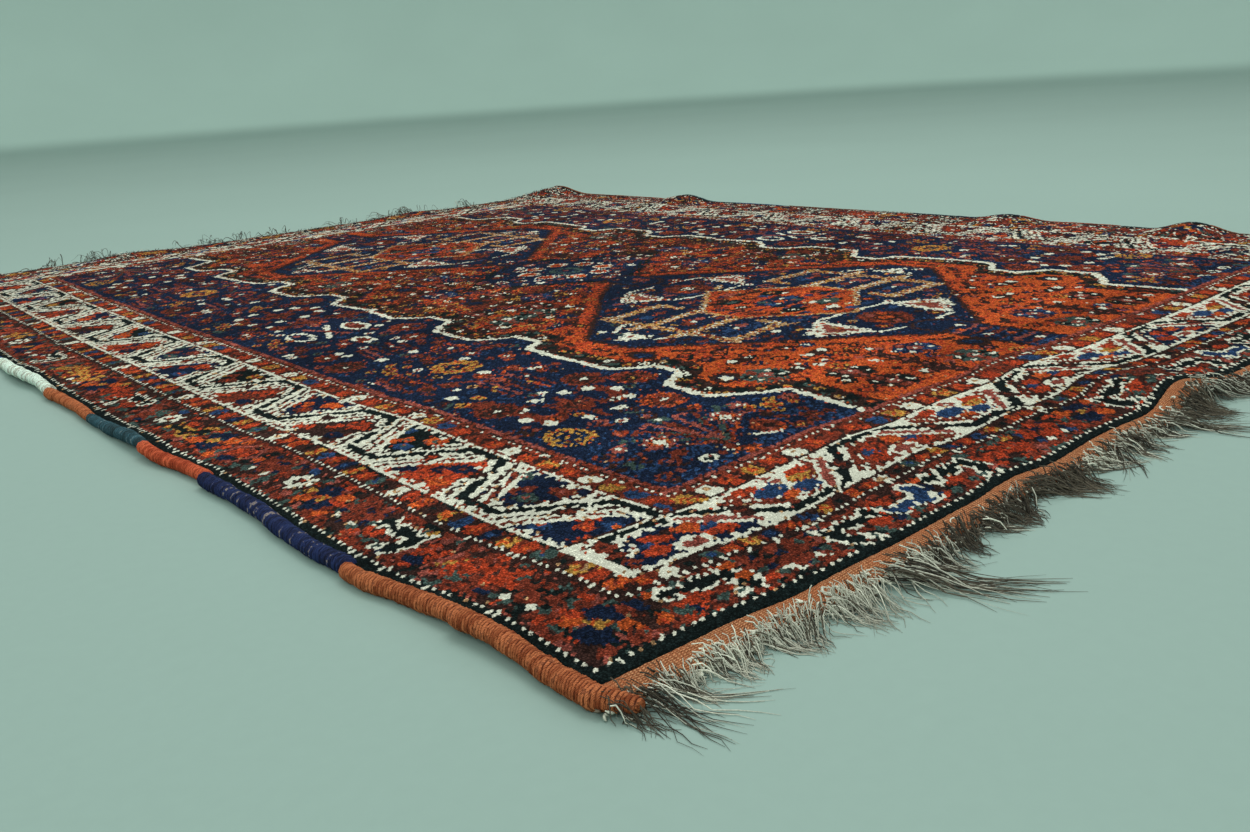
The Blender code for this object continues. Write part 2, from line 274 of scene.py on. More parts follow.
STAR = (
    "....p.p....",
    "...pwrwp...",
    ".p.prrrp.p.",
    "pwprrwrrpwp",
    ".prrwwwrrp.",
    "..rwwkwwr..",
    ".prrwwwrrp.",
    "pwprrwrrpwp",
    ".p.prrrp.p.",
    "...pwrwp...",
    "....p.p....",
)
BLOSSOM = (
    "..x.x..",
    ".xxyxx.",
    "xxyzyxx",
    ".yzzzy.",
    "xxyzyxx",
    ".xxyxx.",
    "..x.x..",
)
BUD = (
    ".xx.",
    "xyyx",
    "xyyx",
    ".xx.",
)
SPRIG = (
    "..xx....xx..",
    ".xyyx..xyyx.",
    "..xx.zz.xx..",
    "....zzzz....",
    ".xx..zz..xx.",
    "xyyx.zz.xyyx",
    ".xx.zzzz.xx.",
    "....zzzz....",
    ".....zz.....",
)
CURL = (
    "..xxxx.",
    ".xx..xx",
    "xx.yy.x",
    "xx.yy..",
    ".xx..zz",
    "..xxzz.",
    "...zz..",
    ".zzz...",
)
EYES = (
    ".wwww......wwww.",
    "wwkkww.bb.wwkkww",
    "wktkkw.bb.wkktkw",
    "wwkkww.bb.wwkkww",
    ".wwww......wwww.",
)


def dye_numbers(letters):
    return [DYE[letter] for letter in letters]


def art_grid(art, swaps=""):
    """A chart's rows as dye numbers, -1 where the ground stays; swaps is pairs of letters."""
    change = {swaps[i]: swaps[i + 1] for i in range(0, len(swaps), 2)}
    rows = [[change.get(letter, letter) for letter in row] for row in reversed(art)]
    return np.array([[DYE.get(letter, -1) for letter in row] for row in rows])


class Loom:
    """The knot chart, row 0 at the near end and column 0 at the left selvedge."""

    def __init__(self, rows, columns, dye, chance):
        self.chart = np.full((rows, columns), DYE[dye])
        self.chance = chance

    def window(self, row, column, reach_r, reach_c):
        rows, columns = self.chart.shape
        r0, r1 = max(0, int(row - reach_r)), min(rows, int(row + reach_r) + 2)
        c0, c1 = max(0, int(column - reach_c)), min(columns, int(column + reach_c) + 2)
        if r0 >= r1 or c0 >= c1:
            return None
        rr, cc = np.mgrid[r0:r1, c0:c1]
        return (slice(r0, r1), slice(c0, c1)), rr, cc

    def paint(self, where, mask, dye):
        self.chart[where] = np.where(mask, DYE[dye], self.chart[where])

    def stamp(self, art, row, column, swaps="", flip=False):
        grid = art_grid(art, swaps)
        if flip:
            grid = grid[:, ::-1]
        high, wide = grid.shape
        r0, c0 = int(round(row - high / 2)), int(round(column - wide / 2))
        rows, columns = self.chart.shape
        a, b = max(0, -r0), max(0, -c0)
        c, d = min(high, rows - r0), min(wide, columns - c0)
        if a >= c or b >= d:
            return
        part = self.chart[r0 + a:r0 + c, c0 + b:c0 + d]
        piece = grid[a:c, b:d]
        part[piece >= 0] = piece[piece >= 0]

    def blob(self, row, column, half_r, half_c, dye, rough=0.25, power=2.0):
        found = self.window(row, column, half_r * 1.4 + 1, half_c * 1.4 + 1)
        if found is None:
            return
        where, rr, cc = found
        reach = np.abs((rr - row) / half_r) ** power + np.abs((cc - column) / half_c) ** power
        ragged = 1.0 + self.chance.uniform(-rough, rough, reach.shape)
        self.paint(where, reach < ragged, dye)

    def disc(self, row, column, *layers):
        """Blobs one on another, each given as (half height, half width, dye, roughness)."""
        for layer in layers:
            self.blob(row, column, *layer)

    def ring(self, row, column, radius, count, size, dyes, start=0.0, squash=1.0):
        """Small blobs round a centre, in dyes taken by turns."""
        for k in range(count):
            turn = start + 2 * math.pi * k / count
            at = row + math.sin(turn) * radius * squash, column + math.cos(turn) * radius
            self.blob(*at, size, size, dyes[k % len(dyes)], 0.35)

    def trail(self, points, width, dye, gap=0, ragged=0.25):
        """A line through points (row, column); gap leaves out every other stretch of that many knots."""
        travelled = 0.0
        for (r0, c0), (r1, c1) in zip(points, points[1:]):
            length = math.hypot(r1 - r0, c1 - c0)
            if length < 1e-6:
                continue
            reach = width / 2 + 2
            found = self.window((r0 + r1) / 2, (c0 + c1) / 2, abs(r1 - r0) / 2 + reach,
                                abs(c1 - c0) / 2 + reach)
            if found is not None:
                where, rr, cc = found
                along = ((rr - r0) * (r1 - r0) + (cc - c0) * (c1 - c0)) / length
                clamped = np.clip(along, 0, length)
                away = np.hypot(rr - r0 - clamped * (r1 - r0) / length,
                                cc - c0 - clamped * (c1 - c0) / length)
                half = width / 2 + self.chance.uniform(-ragged, ragged, away.shape)
                mask = away < half
                if gap:
                    mask &= ((travelled + along) % (2 * gap)) < gap
                self.paint(where, mask, dye)
            travelled += length

    def polygon(self, points, dye, ragged=0.5, teeth=0.0):
        """Fills a polygon of (row, column) corners; teeth steps its edge in and out every two knots."""
        corners = np.array(points, float)
        low, high = corners.min(0), corners.max(0)
        middle, reach = (low + high) / 2, (high - low) / 2 + 2 + teeth
        found = self.window(middle[0], middle[1], reach[0], reach[1])
        if found is None:
            return
        where, rr, cc = found
        bite = teeth * np.where(((rr // 2) + (cc // 2)) % 2 == 0, 1.0, -1.0)
        rows = rr + self.chance.uniform(-ragged, ragged, rr.shape) + bite * np.sign(rr - middle[0])
        cols = cc + self.chance.uniform(-ragged, ragged, cc.shape) + bite * np.sign(cc - middle[1])
        inside = np.zeros(rr.shape, bool)
        for (r0, c0), (r1, c1) in zip(corners, np.roll(corners, -1, 0)):
            if r0 == r1:
                continue
            crosses = (r0 > rows) != (r1 > rows)
            inside ^= crosses & (cols < (c1 - c0) * (rows - r0) / (r1 - r0) + c0)
        self.paint(where, inside, dye)

    def mottle(self, where, dye, share, size=3.0):
        """Scatters soft patches of another dye over a region."""
        part = self.chart[where]
        rows, columns = part.shape
        coarse = self.chance.random((int(rows / size) + 3, int(columns / size) + 3))
        r = np.arange(rows) / size
        c = np.arange(columns) / size
        r0, c0 = r.astype(int), c.astype(int)
        fr, fc = (r - r0)[:, None], (c - c0)[None, :]
        value = (coarse[r0][:, c0] * (1 - fr) * (1 - fc) + coarse[r0 + 1][:, c0] * fr * (1 - fc)
                 + coarse[r0][:, c0 + 1] * (1 - fr) * fc + coarse[r0 + 1][:, c0 + 1] * fr * fc)
        value = value + self.chance.uniform(-0.12, 0.12, value.shape)
        cut = np.quantile(value, 1 - share)
        part[value > cut] = DYE[dye]

    def fits(self, row, column, half, ground):
        """Whether the knots round a spot are nearly all of the ground's dyes."""
        r, c = int(row), int(column)
        part = self.chart[max(0, r - half):r + half + 1, max(0, c - half):c + half + 1]
        return part.size > 0 and np.isin(part, dye_numbers(ground)).mean() > 0.86

    def pick(self, options):
        return options[self.chance.integers(0, len(options))]


# Borders. Each is painted on its own loom: row 0 is the rug's rim, and columns run along the rim.

def paint_ticks(loom, first, ground, beat, missed):
    """Two rows of knots with pale dashes: beat gives the knots from each dash to the next, by turns."""
    loom.chart[first:first + 2, :] = DYE[ground]
    place, index = 1, 0
    while place < loom.chart.shape[1]:
        if loom.chance.random() > missed:
            loom.chart[first + 1, place] = DYE["w"]
            if loom.chance.random() < 0.15:
                loom.chart[first, place] = DYE["w"]
        place += beat[index % len(beat)]
        index += 1


def paint_outer(loom, first, deep, pitch, turns):
    where = (slice(first, first + deep), slice(None))
    loom.chart[where] = DYE["b"]
    for dye, share, size in (("d", 0.36, 5.0), ("r", 0.08, 3.0), ("t", 0.10, 3.5), ("k", 0.10, 3.5),
                             ("p", 0.05, 2.5)):
        loom.mottle(where, dye, share, size)
    middle = first + deep / 2
    place, index = pitch * 0.9, 0
    while place < loom.chart.shape[1]:
        kind = turns[index % len(turns)]
        flip = loom.chance.random() < 0.25
        row = middle + loom.chance.integers(-1, 2) * 0.5
        if kind == "s":
            loom.stamp(SCORPION, row, place, flip=flip)
        elif kind == "h":
            loom.stamp(HOUND, row, place, loom.pick(("", "nk", "nugw")), flip)
        elif kind == "l":
            loom.stamp(LEAF, row, place, loom.pick(("", "gr", "gogb", "grbn")), flip)
        elif kind == "c":
            loom.stamp(CLUSTER, row, place, loom.pick(("rb", "bdtu", "nkrb", "rgtb")), flip)
        elif kind == "n":
            for side in (-1, 1):
                loom.blob(row + side * 3.2, place + side * 2.5, 3.4, 4.2, "n", 0.3)
                loom.blob(row - side * 3.5, place + side * 4.5, 2.2, 2.8, "o", 0.35)
            loom.blob(row, place, 2.0, 2.0, "g", 0.4)
        elif kind == "w":
            loom.blob(row, place, 5.5, 6.0, "d", 0.3)
            loom.ring(row, place, 3.2, 6, 1.5, "w")
            loom.blob(row, place, 1.2, 1.2, "r", 0.3)
            loom.blob(row + 6, place + 4, 1.8, 2.4, "u", 0.3)
        elif kind == "p":
            for side in (-1, 1):
                loom.trail([(row - 6, place + side * 5), (row + 2, place + side * 6),
                            (row + 6, place + side * 2)], 1.6, "p")
                loom.blob(row, place + side * 2.4, 3.2, 1.8, "r", 0.3)
            loom.blob(row - 5, place, 1.8, 3.0, "n", 0.3)
        for k in range(3):
            spot = place + pitch * 0.5 + loom.chance.uniform(-2, 2)
            loom.blob(first + deep * (0.18 + 0.32 * k), spot, 1.6, 2.0, loom.pick("rotpgdnr"), 0.4)
        place += pitch + loom.chance.integers(-1, 2)
        index += 1


# The heart of a stripe's flower of each dye
FLOWER_HEARTS = {"r": "o", "u": "n", "g": "o", "w": "a", "n": "u", "d": "k", "t": "u", "o": "r", "b": "r"}


def paint_flowers(loom, first, deep, pitch, order):
    where = (slice(first, first + deep), slice(None))
    loom.chart[where] = DYE["d"]
    loom.mottle(where, "b", 0.45, 2.5)
    middle, place, index = first + (deep - 1) / 2, pitch / 2, 0
    while place < loom.chart.shape[1]:
        dye = order[index % len(order)]
        half = deep / 2 + 0.2
        loom.blob(middle, place, half, pitch * 0.36, dye, 0.35, 2.6)
        loom.blob(middle, place, 0.9, 1.1, FLOWER_HEARTS[dye], 0.4)
        place += pitch + loom.chance.uniform(-0.6, 0.6)
        index += 1


# What fills the ivory border's bays by turns: (ground, big lobes, small lobes, hearts)
BAYS = (("n", "r", "u", "o"), ("n", "b", "t", "p"), ("r", "n", "o", "b"), ("k", "o", "u", "t"),
        ("d", "r", "n", "b"), ("n", "o", "b", "r"), ("b", "r", "n", "d"), ("k", "b", "g", "r"))


def paint_bay(loom, edge, far, middle, wide_edge, wide_far, fill):
    """A toothed bay between two bends of the black line: four lobes round a heart on their own ground."""
    ground, big, small, heart = fill
    centre = (edge + far) / 2
    reach = abs(far - edge) / 2
    toward = 1 if far > edge else -1
    waist = (wide_edge + wide_far) * 0.52
    loom.polygon([(edge, middle - wide_edge), (edge, middle + wide_edge), (centre, middle + waist),
                  (far, middle + wide_far), (far, middle - wide_far), (centre, middle - waist)],
                 ground, 0.5, 0.9)
    lean = loom.pick((-1, 1))
    for k, (out, beside) in enumerate(((-0.50, -0.46), (0.42, -0.30), (-0.50, 0.46), (0.42, 0.30))):
        dye = big if (k in (0, 3)) == (lean > 0) else small
        row = centre + toward * reach * out
        column = middle + beside * wide_edge * (1.25 if out < 0 else 1.1)
        size = 3.1 if dye == big else 2.5
        loom.disc(row, column, (size, size * 1.35, dye, 0.3), (0.8, 1.2, heart, 0.5))
    loom.disc(centre, middle, (2.4, 2.4, big if ground != big else small, 0.4), (0.9, 1.0, heart, 0.4))
    for side in (-1, 1):
        loom.blob(edge + toward * 0.8, middle + side * wide_edge * 0.5, 1.5, 1.3, "w", 0.3)


def paint_main(loom, first, deep, stay, slope, start):
    """Ivory border: a black line that bends from edge to edge, rosettes on its slopes and toothed bays."""
    where = (slice(first, first + deep), slice(None))
    loom.chart[where] = DYE["w"]
    length = loom.chart.shape[1]
    low, high = first + deep * 0.165, first + deep * 0.875
    place, index, is_high = start, 0, True
    while place < length + 40:
        here, there = (high, low) if is_high else (low, high)
        a1, b0 = place + stay, place + stay + slope
        middle = place + stay / 2
        edge = first + 2.0 if is_high else first + deep - 3.0
        far = here - 4.8 if is_high else here + 4.8
        paint_bay(loom, edge, far, middle, stay / 2 + slope * 0.46, stay * 0.46, BAYS[index % len(BAYS)])
        for side in (-1, 1):
            for shift, dye in ((3.3, "w"), (5.2, "d"), (7.0, "w"), (8.9, "b"), (10.6, "w")):
                line = [(here + (there - here) * s, a1 + slope * s + side * shift) for s in (-0.08, 1.08)]
                loom.trail(line, 1.8 if dye == "w" else 1.4, dye, ragged=0.5)
        loom.trail([(here, place), (here, a1), (there, b0)], 2.7, "k", ragged=0.5)
        row, column = (here + there) / 2, (a1 + b0) / 2 + (4.6 if index % 2 else -4.6)
        size = 3.4 if index % 2 else 2.6
        loom.disc(row, column, (size + 1.0, size + 1.0, "w", 0.3), (size, size, "d", 0.4))
        loom.blob(row, column, size * 0.55, size * 0.55, loom.pick("bdbr"), 0.4)
        place = b0
        is_high = not is_high
        index += 1
    for row, dye in ((0, "k"), (1, "w"), (deep - 2, "w"), (deep - 1, "b")):
        loom.chart[first + row, :] = DYE[dye]
    loom.chart[first, loom.chance.random(length) < 0.5] = DYE["b"]
    for row in (first + 2, first + deep - 3):
        broken = (loom.chart[row] == DYE["w"]) & (loom.chance.random(length) < 0.45)
        loom.chart[row] = np.where(broken, DYE["b"], loom.chart[row])


# The flower in a low bend: (knots up, knots beside, half height, half width, dye, roughness)
STANDING_FLOWER = (
    (10.5, -5.6, 3.0, 5.2, "u", 0.25), (10.8, 5.6, 2.4, 4.6, "g", 0.3), (6.2, 2.6, 2.5, 4.2, "u", 0.3),
    (6.0, -4.0, 1.9, 3.2, "o", 0.4), (14.0, 9.0, 2.0, 4.2, "r", 0.35), (15.2, -10.0, 2.2, 3.6, "r", 0.35),
    (15.0, 0.0, 2.0, 2.6, "p", 0.4), (15.0, 0.0, 0.9, 1.2, "w", 0.4),
)


def tapered(row, half, other_row, other_half, middle):
    """Corners between two straight rows, each with its own half width about a middle column."""
    return [(row, middle - half), (other_row, middle - other_half),
            (other_row, middle + other_half), (row, middle + half)]


def paint_main_end(loom, first, deep, stay, slope, start):
    """The same border at an end: leaves hang under the high bends and flowers stand in the low ones."""
    where = (slice(first, first + deep), slice(None))
    loom.chart[where] = DYE["w"]
    length = loom.chart.shape[1]
    low, high = first + 3.0, first + deep - 3.6
    place, index, is_high = start, 0, True
    loom.trail([(low, start - slope * 0.5), (high, start)], 2.4, "k", ragged=0.5)
    while place < length + 40:
        here, there = (high, low) if is_high else (low, high)
        a1, b0 = place + stay, place + stay + slope
        middle = place + stay / 2
        wide = stay / 2 + slope * 0.46
        if is_high:
            foot = first + 1.8
            dye = "nbd"[(index // 2) % 3]
            loom.polygon(tapered(foot, wide, here - 3.2, wide * 0.48, middle), dye, 0.5, 0.9)
            loom.blob(foot + 3.2, middle, 3.2, 5.2, "w", 0.3)
            loom.blob(foot + 3.0, middle, 2.0, 3.4, "p", 0.4)
            if index == 0:
                loom.polygon([(foot, middle - 18), (high, middle - 17), (high, middle - 12),
                              (foot, middle - 16)], "b", 0.8, 0.8)
            for side in (-1, 1):
                loom.blob(foot + 5.0, middle + side * 9.0, 2.7, 4.2, "r", 0.35)
                loom.blob(foot + 10.0, middle + side * 4.2, 2.5, 3.6, "r" if side < 0 else "o", 0.35)
                loom.blob(foot + 8.0, middle + side * 8.0, 1.5, 2.2, "u", 0.4)
            loom.blob(foot + 11.0, middle, 1.6, 1.6, "d", 0.4)
        else:
            top = first + deep - 2.5
            loom.polygon(tapered(top, wide, here + 3.0, wide * 0.42, middle), "b", 0.5, 0.9)
            loom.polygon(tapered(top, wide * 0.8, here + 4.4, wide * 0.3, middle), "w", 0.6, 0.8)
            for up, beside, half_r, half_c, dye, rough in STANDING_FLOWER:
                loom.blob(here + up, middle + beside, half_r, half_c, dye, rough)
        loom.trail([(here, place), (here, a1), (there, b0)], 2.7, "k", ragged=0.5)
        for side in (-1, 1):
            shift = side * 6.2
            line = [(here + (there - here) * s, a1 + slope * s + shift) for s in (0.12, 0.86)]
            loom.trail(line, 5.0, "w", ragged=0.3)
            loom.trail(line, 2.2, "b" if side > 0 else "p", ragged=0.5)
        row, column = (here + there) / 2, (a1 + b0) / 2
        loom.disc(row, column, (3.4, 2.8, "d", 0.35), (1.4, 1.2, "b", 0.4))
        place = b0
        is_high = not is_high
        index += 1
    for row, dye in ((0, "d"), (1, "w"), (deep - 2, "w"), (deep - 1, "d")):
        loom.chart[first + row, :] = DYE[dye]


def paint_border(length, bands, is_side, chance):
    """One side's or end's whole border on its own loom."""
    deep = sum(count for name, count in bands)
    loom = Loom(deep, length, "k", chance)
    first = 0
    for name, count in bands:
        where = (slice(first, first + count), slice(None))
        if name == "ticks":
            paint_ticks(loom, first, "k", (2, 3), 0.06)
        elif name == "outer":
            paint_outer(loom, first, count, 17.0 if is_side else 20.4,
                        "nclpscnwcpnhwtsl" if is_side else "nscshslc")
        elif name == "dots":
            paint_ticks(loom, first, "d", (2, 2, 3), 0.12)
        elif name == "beads":
            paint_ticks(loom, first, "b", (3, 2, 3), 0.05)
        elif name == "flowers":
            paint_flowers(loom, first, count, 5.8, "rugdorwdtrgn")
        elif name == "inner":
            paint_flowers(loom, first, count, 8.2, "rgrwrbrugw")
        elif name == "main" and is_side:
            paint_main(loom, first, count, 14.5, 15.0, 47.0)
        elif name == "main":
            paint_main_end(loom, first, count, 22.0, 16.0, 41.0)
        elif name == "line":
            loom.chart[where] = DYE["p"]
            loom.chart[first, :] = DYE["d"]
            loom.mottle(where, "b", 0.4, 2.0)
        first += count
    return loom.chart


# The field. Its figures are given for the near left quarter, in millimetres from the left rim
# and the near end.

AXIS = 797.0
CENTRE = 590.0
PANEL_INNER = 428.0
PANEL_OUTER = 232.0

# The white step line: (millimetres from the near end, millimetres from the left rim)
STEP_LINE = (
    (150, 476), (190, 479), (288, 490), (300, 470), (322, 438), (330, 428), (392, 429), (404, 442),
    (414, 460), (428, 470), (464, 471), (472, 455), (484, 438), (498, 427), (575, 432), (642, 440),
    (652, 448), (658, 466), (668, 472), (712, 471), (720, 452), (736, 430), (742, 425), (826, 426),
    (846, 442), (862, 464), (872, 471), (914, 471), (926, 454), (948, 436), (954, 432), (1032, 440),
    (1041, 452),
)

# Figures of the side panels: (kind, millimetres in from the left rim, millimetres from the near end)
PANEL = (
    ("eyes", 318, 212), ("slash", 376, 208), ("dot", 262, 210), ("rosette_red_s", 392, 222),
    ("bloom_brick", 440, 218), ("bouquet", 345, 268), ("bloom_gold", 440, 262),
    ("rosette_gold", 260, 345), ("rosette_red", 391, 356), ("palmette", 325, 418),
    ("rosette_red", 430, 440), ("rosette_dark", 390, 482), ("rosette_dark", 264, 464),
    ("gold_pair", 264, 512), ("streaks", 328, 520), ("white", 262, 545), ("bloom_red", 395, 560),
    ("spray", 330, 572), ("white", 342, 592), ("bloom_brick", 268, 590), ("streaks", 262, 640),
    ("big_gold", 342, 642), ("bloom_red", 402, 636), ("bloom_gold", 284, 702),
    ("bloom_brick", 340, 700), ("rosette_star", 384, 722), ("white", 306, 745), ("white", 346, 750),
    ("rosette_dark", 264, 760), ("bloom_brick", 400, 770), ("streaks", 330, 792),
    ("rosette_red_s", 268, 822), ("white", 290, 806), ("white", 290, 828), ("white", 366, 812),
    ("rosette_red_s", 396, 826), ("white_ring", 348, 870), ("rosette_red", 420, 886),
    ("bloom_brick", 264, 890), ("bloom_red", 316, 872), ("chain", 340, 958), ("bloom_gold", 266, 954),
    ("bloom_red", 262, 1034), ("spray", 350, 1036), ("bloom_brick", 410, 1040),
)

# Figures of the red ground, given in the same way
GROUND = (
    ("flower_dark", 572, 222), ("pair", 636, 223), ("flower_dark", 574, 277), ("stem", 642, 250),
    ("flower_blue", 694, 274), ("flower_teal", 702, 210), ("pair", 546, 328), ("dark", 566, 336),
    ("dark_ring", 488, 362), ("pair", 616, 362), ("cluster", 640, 330), ("dark", 610, 392),
    ("pair", 546, 402), ("dark", 560, 412), ("white", 486, 364), ("dark", 520, 300), ("dark", 640, 408),
    ("dark", 552, 446), ("gold", 590, 300), ("dark", 520, 462), ("flower_dark", 480, 775),
    ("white", 490, 776), ("flower_teal", 520, 796), ("white", 522, 808), ("dark", 570, 770),
    ("pair", 612, 806), ("white", 621, 776), ("dark", 640, 842), ("white", 560, 850),
    ("gold", 672, 812), ("pair", 580, 903), ("flower_dark", 520, 870), ("white", 682, 905),
    ("white", 680, 870), ("flower_blue", 640, 900), ("dark_ring", 556, 940), ("flower_dark", 610, 962),
    ("white", 626, 972), ("pair", 556, 990), ("dark", 500, 1000), ("flower_blue", 560, 1036),
    ("pair", 640, 1030), ("gold", 500, 960), ("white", 560, 760), ("dark", 700, 940),
)


class Quarter:
    """Finds a place on one quarter of the field from the place on the near left one."""

    def __init__(self, loom, side, end):
        self.loom = loom
        self.side = side
        self.end = end

    def spot(self, across, along):
        rows, columns = self.loom.chart.shape
        knot = KNOT * 1000
        outer = PILE_WIDTH * 1000 - PANEL_OUTER
        if self.side > 0 and across < PANEL_INNER:
            narrow = (outer - 2 * AXIS + PANEL_INNER) / (PANEL_INNER - PANEL_OUTER)
            across = outer - (across - PANEL_OUTER) * narrow
        elif self.side > 0:
            across = 2 * AXIS - across
        row = along / knot if self.end < 0 else rows - along / knot
        return row, across / knot


def rosette(loom, row, column, size, ring, fill, heart="w"):
    loom.disc(row, column, (size, size * 0.94, ring, 0.22), (size * 0.74, size * 0.68, fill, 0.3))
    loom.ring(row, column, size * 0.5, 8 if size > 6 else 6, 1.0, ring)
    loom.blob(row, column, 1.3, 1.2, heart, 0.3)


# Stems of the bouquet: (knots out, knots up, dye)
BOUQUET = ((8, 8, "t"), (15, 5, "b"), (22, 0, "r"), (11, 15, "b"), (19, 12, "t"), (5, 18, "p"))


def draw_panel_figure(loom, kind, row, column, flip, up):
    if kind == "eyes":
        loom.stamp(EYES, row, column)
    elif kind == "dot":
        loom.blob(row, column, 1.5, 1.5, "p", 0.3)
    elif kind == "slash":
        loom.trail([(row + 2, column - 2), (row - 2, column + 3)], 1.5, "w")
    elif kind == "white":
        loom.blob(row, column, 2.2, 2.0, "w", 0.35)
    elif kind == "white_ring":
        loom.disc(row, column, (7.0, 4.4, "w", 0.2), (4.4, 2.2, "b", 0.3))
    elif kind.startswith("rosette"):
        parts = kind.split("_")
        ring, fill = {"red": ("r", "b"), "gold": ("g", "n"), "dark": ("b", "d"),
                      "star": ("r", "n")}[parts[1]]
        rosette(loom, row, column, 5.6 if len(parts) > 2 else 8.0, ring, fill, "g" if ring == "g" else "w")
    elif kind.startswith("bloom"):
        dyes = {"gold": "xgyrzo", "red": "xryozw", "brick": "xbydzr"}[kind.split("_")[1]]
        loom.stamp(BLOSSOM, row, column, dyes)
        for a, b in ((-5, -3), (5, 3), (-2, 6), (3, -6)):
            loom.stamp(BUD, row + a, column + b, dyes)
    elif kind == "gold_pair":
        for k in (-1, 1):
            loom.disc(row + k * 1.5, column + k * 4.0, (2.8, 2.2, "g", 0.3), (1.0, 0.9, "r", 0.3))
        loom.blob(row - 6, column, 4.0, 4.6, "b", 0.35)
    elif kind == "streaks":
        for k in range(6):
            c = column + (k - 2.5) * 3.6 + loom.chance.uniform(-0.6, 0.6)
            loom.trail([(row - 9, c), (row + 9 + loom.chance.uniform(-3, 3), c + 1.5)], 1.5, "bpbdrb"[k],
                       ragged=0.6)
            loom.blob(row + loom.chance.uniform(-7, 7), c, 1.2, 1.2, loom.pick("wrgb"), 0.4)
    elif kind == "spray":
        for k, dye in ((-1, "b"), (1, "r"), (0, "p")):
            loom.trail([(row - up * 9, column), (row, column + k * 6), (row + up * 4, column + k * 12)],
                       1.7, dye, ragged=0.5)
            loom.disc(row + up * 3, column + k * 13, (3.6, 3.4, "b", 0.35), (1.5, 1.4, "r", 0.4))
        for k in (-16, -6, 6, 16):
            loom.blob(row - up * 4, column + k, 1.5, 1.5, "p" if k % 4 else "w", 0.4)
    elif kind == "bouquet":
        loom.trail([(row - up * 21, column - 4), (row + up * 12, column - 1)], 3.0, "b", ragged=0.5)
        for k, (out, rise, dye) in enumerate(BOUQUET):
            for s in (-1, 1):
                bend = [(row - up * 16 + up * k, column),
                        (row - up * 4 + up * rise * 0.4, column + s * out * 0.6),
                        (row + up * rise * 0.8, column + s * out),
                        (row + up * (rise - 5), column + s * (out + 3))]
                loom.trail(bend, 1.6, dye, ragged=0.5)
        for s in (-1, 1):
            loom.stamp(STAR, row + up * 1, column + s * 13.5)
            loom.disc(row + up * 6, column + s * 24, (3.0, 3.0, "p", 0.4), (1.3, 1.2, "w", 0.4))
            loom.blob(row + up * 15, column + s * 15, 2.5, 2.5, "r", 0.4)
            loom.blob(row - up * 9, column + s * 16, 2.4, 2.8, "b", 0.4)
        loom.disc(row + up * 15, column, (3.0, 3.0, "t", 0.4), (1.1, 1.1, "w", 0.4))
        loom.blob(row - up * 22, column - 2, 3.2, 4.2, "r", 0.4)
    elif kind == "palmette":
        for s in (-1, 1):
            loom.blob(row + up * 2, column + s * 12.5, 11.5, 7.0, "b", 0.2)
            loom.blob(row + up * 4, column + s * 10.5, 7.5, 3.4, "n", 0.3)
            loom.blob(row - up * 5, column + s * 12.0, 3.2, 2.6, "r", 0.4)
        loom.disc(row, column, (6.5, 6.0, "b", 0.3), (3.2, 3.2, "d", 0.3), (1.4, 1.2, "p", 0.3))
        loom.trail([(row - up * 17, column), (row + up * 11, column)], 2.4, "b", ragged=0.6)
        for turn in (8, 48, 72, 108, 140, 178, 215, 255, 290, 328):
            a = math.radians(turn)
            r, c = row + math.sin(a) * 14.0, column + math.cos(a) * 19.5
            loom.blob(r, c, 2.3, 2.2, "w", 0.35)
    elif kind == "big_gold":
        for k in range(8):
            a = 2 * math.pi * k / 8
            loom.disc(row + math.sin(a) * 6.6, column + math.cos(a) * 6.8, (3.0, 3.0, "g", 0.35),
                      (1.1, 1.1, "bo"[k % 2], 0.4))
        loom.disc(row, column, (3.8, 3.6, "n", 0.3), (1.6, 1.6, "g", 0.4))
    elif kind == "chain":
        for k in (-1, 1):
            loom.disc(row, column + k * 12.5, (9.5, 5.5, "w", 0.2), (7.2, 3.4, "nb"[k > 0], 0.25))
            loom.blob(row + 3, column + k * 12.5, 1.7, 1.4, "p", 0.4)
            loom.trail([(row - 12, column - k * 5), (row + 12, column + k * 5)], 2.0, "w" if k > 0 else "p",
                       ragged=0.4)
        loom.blob(row, column, 2.2, 2.0, "r", 0.3)


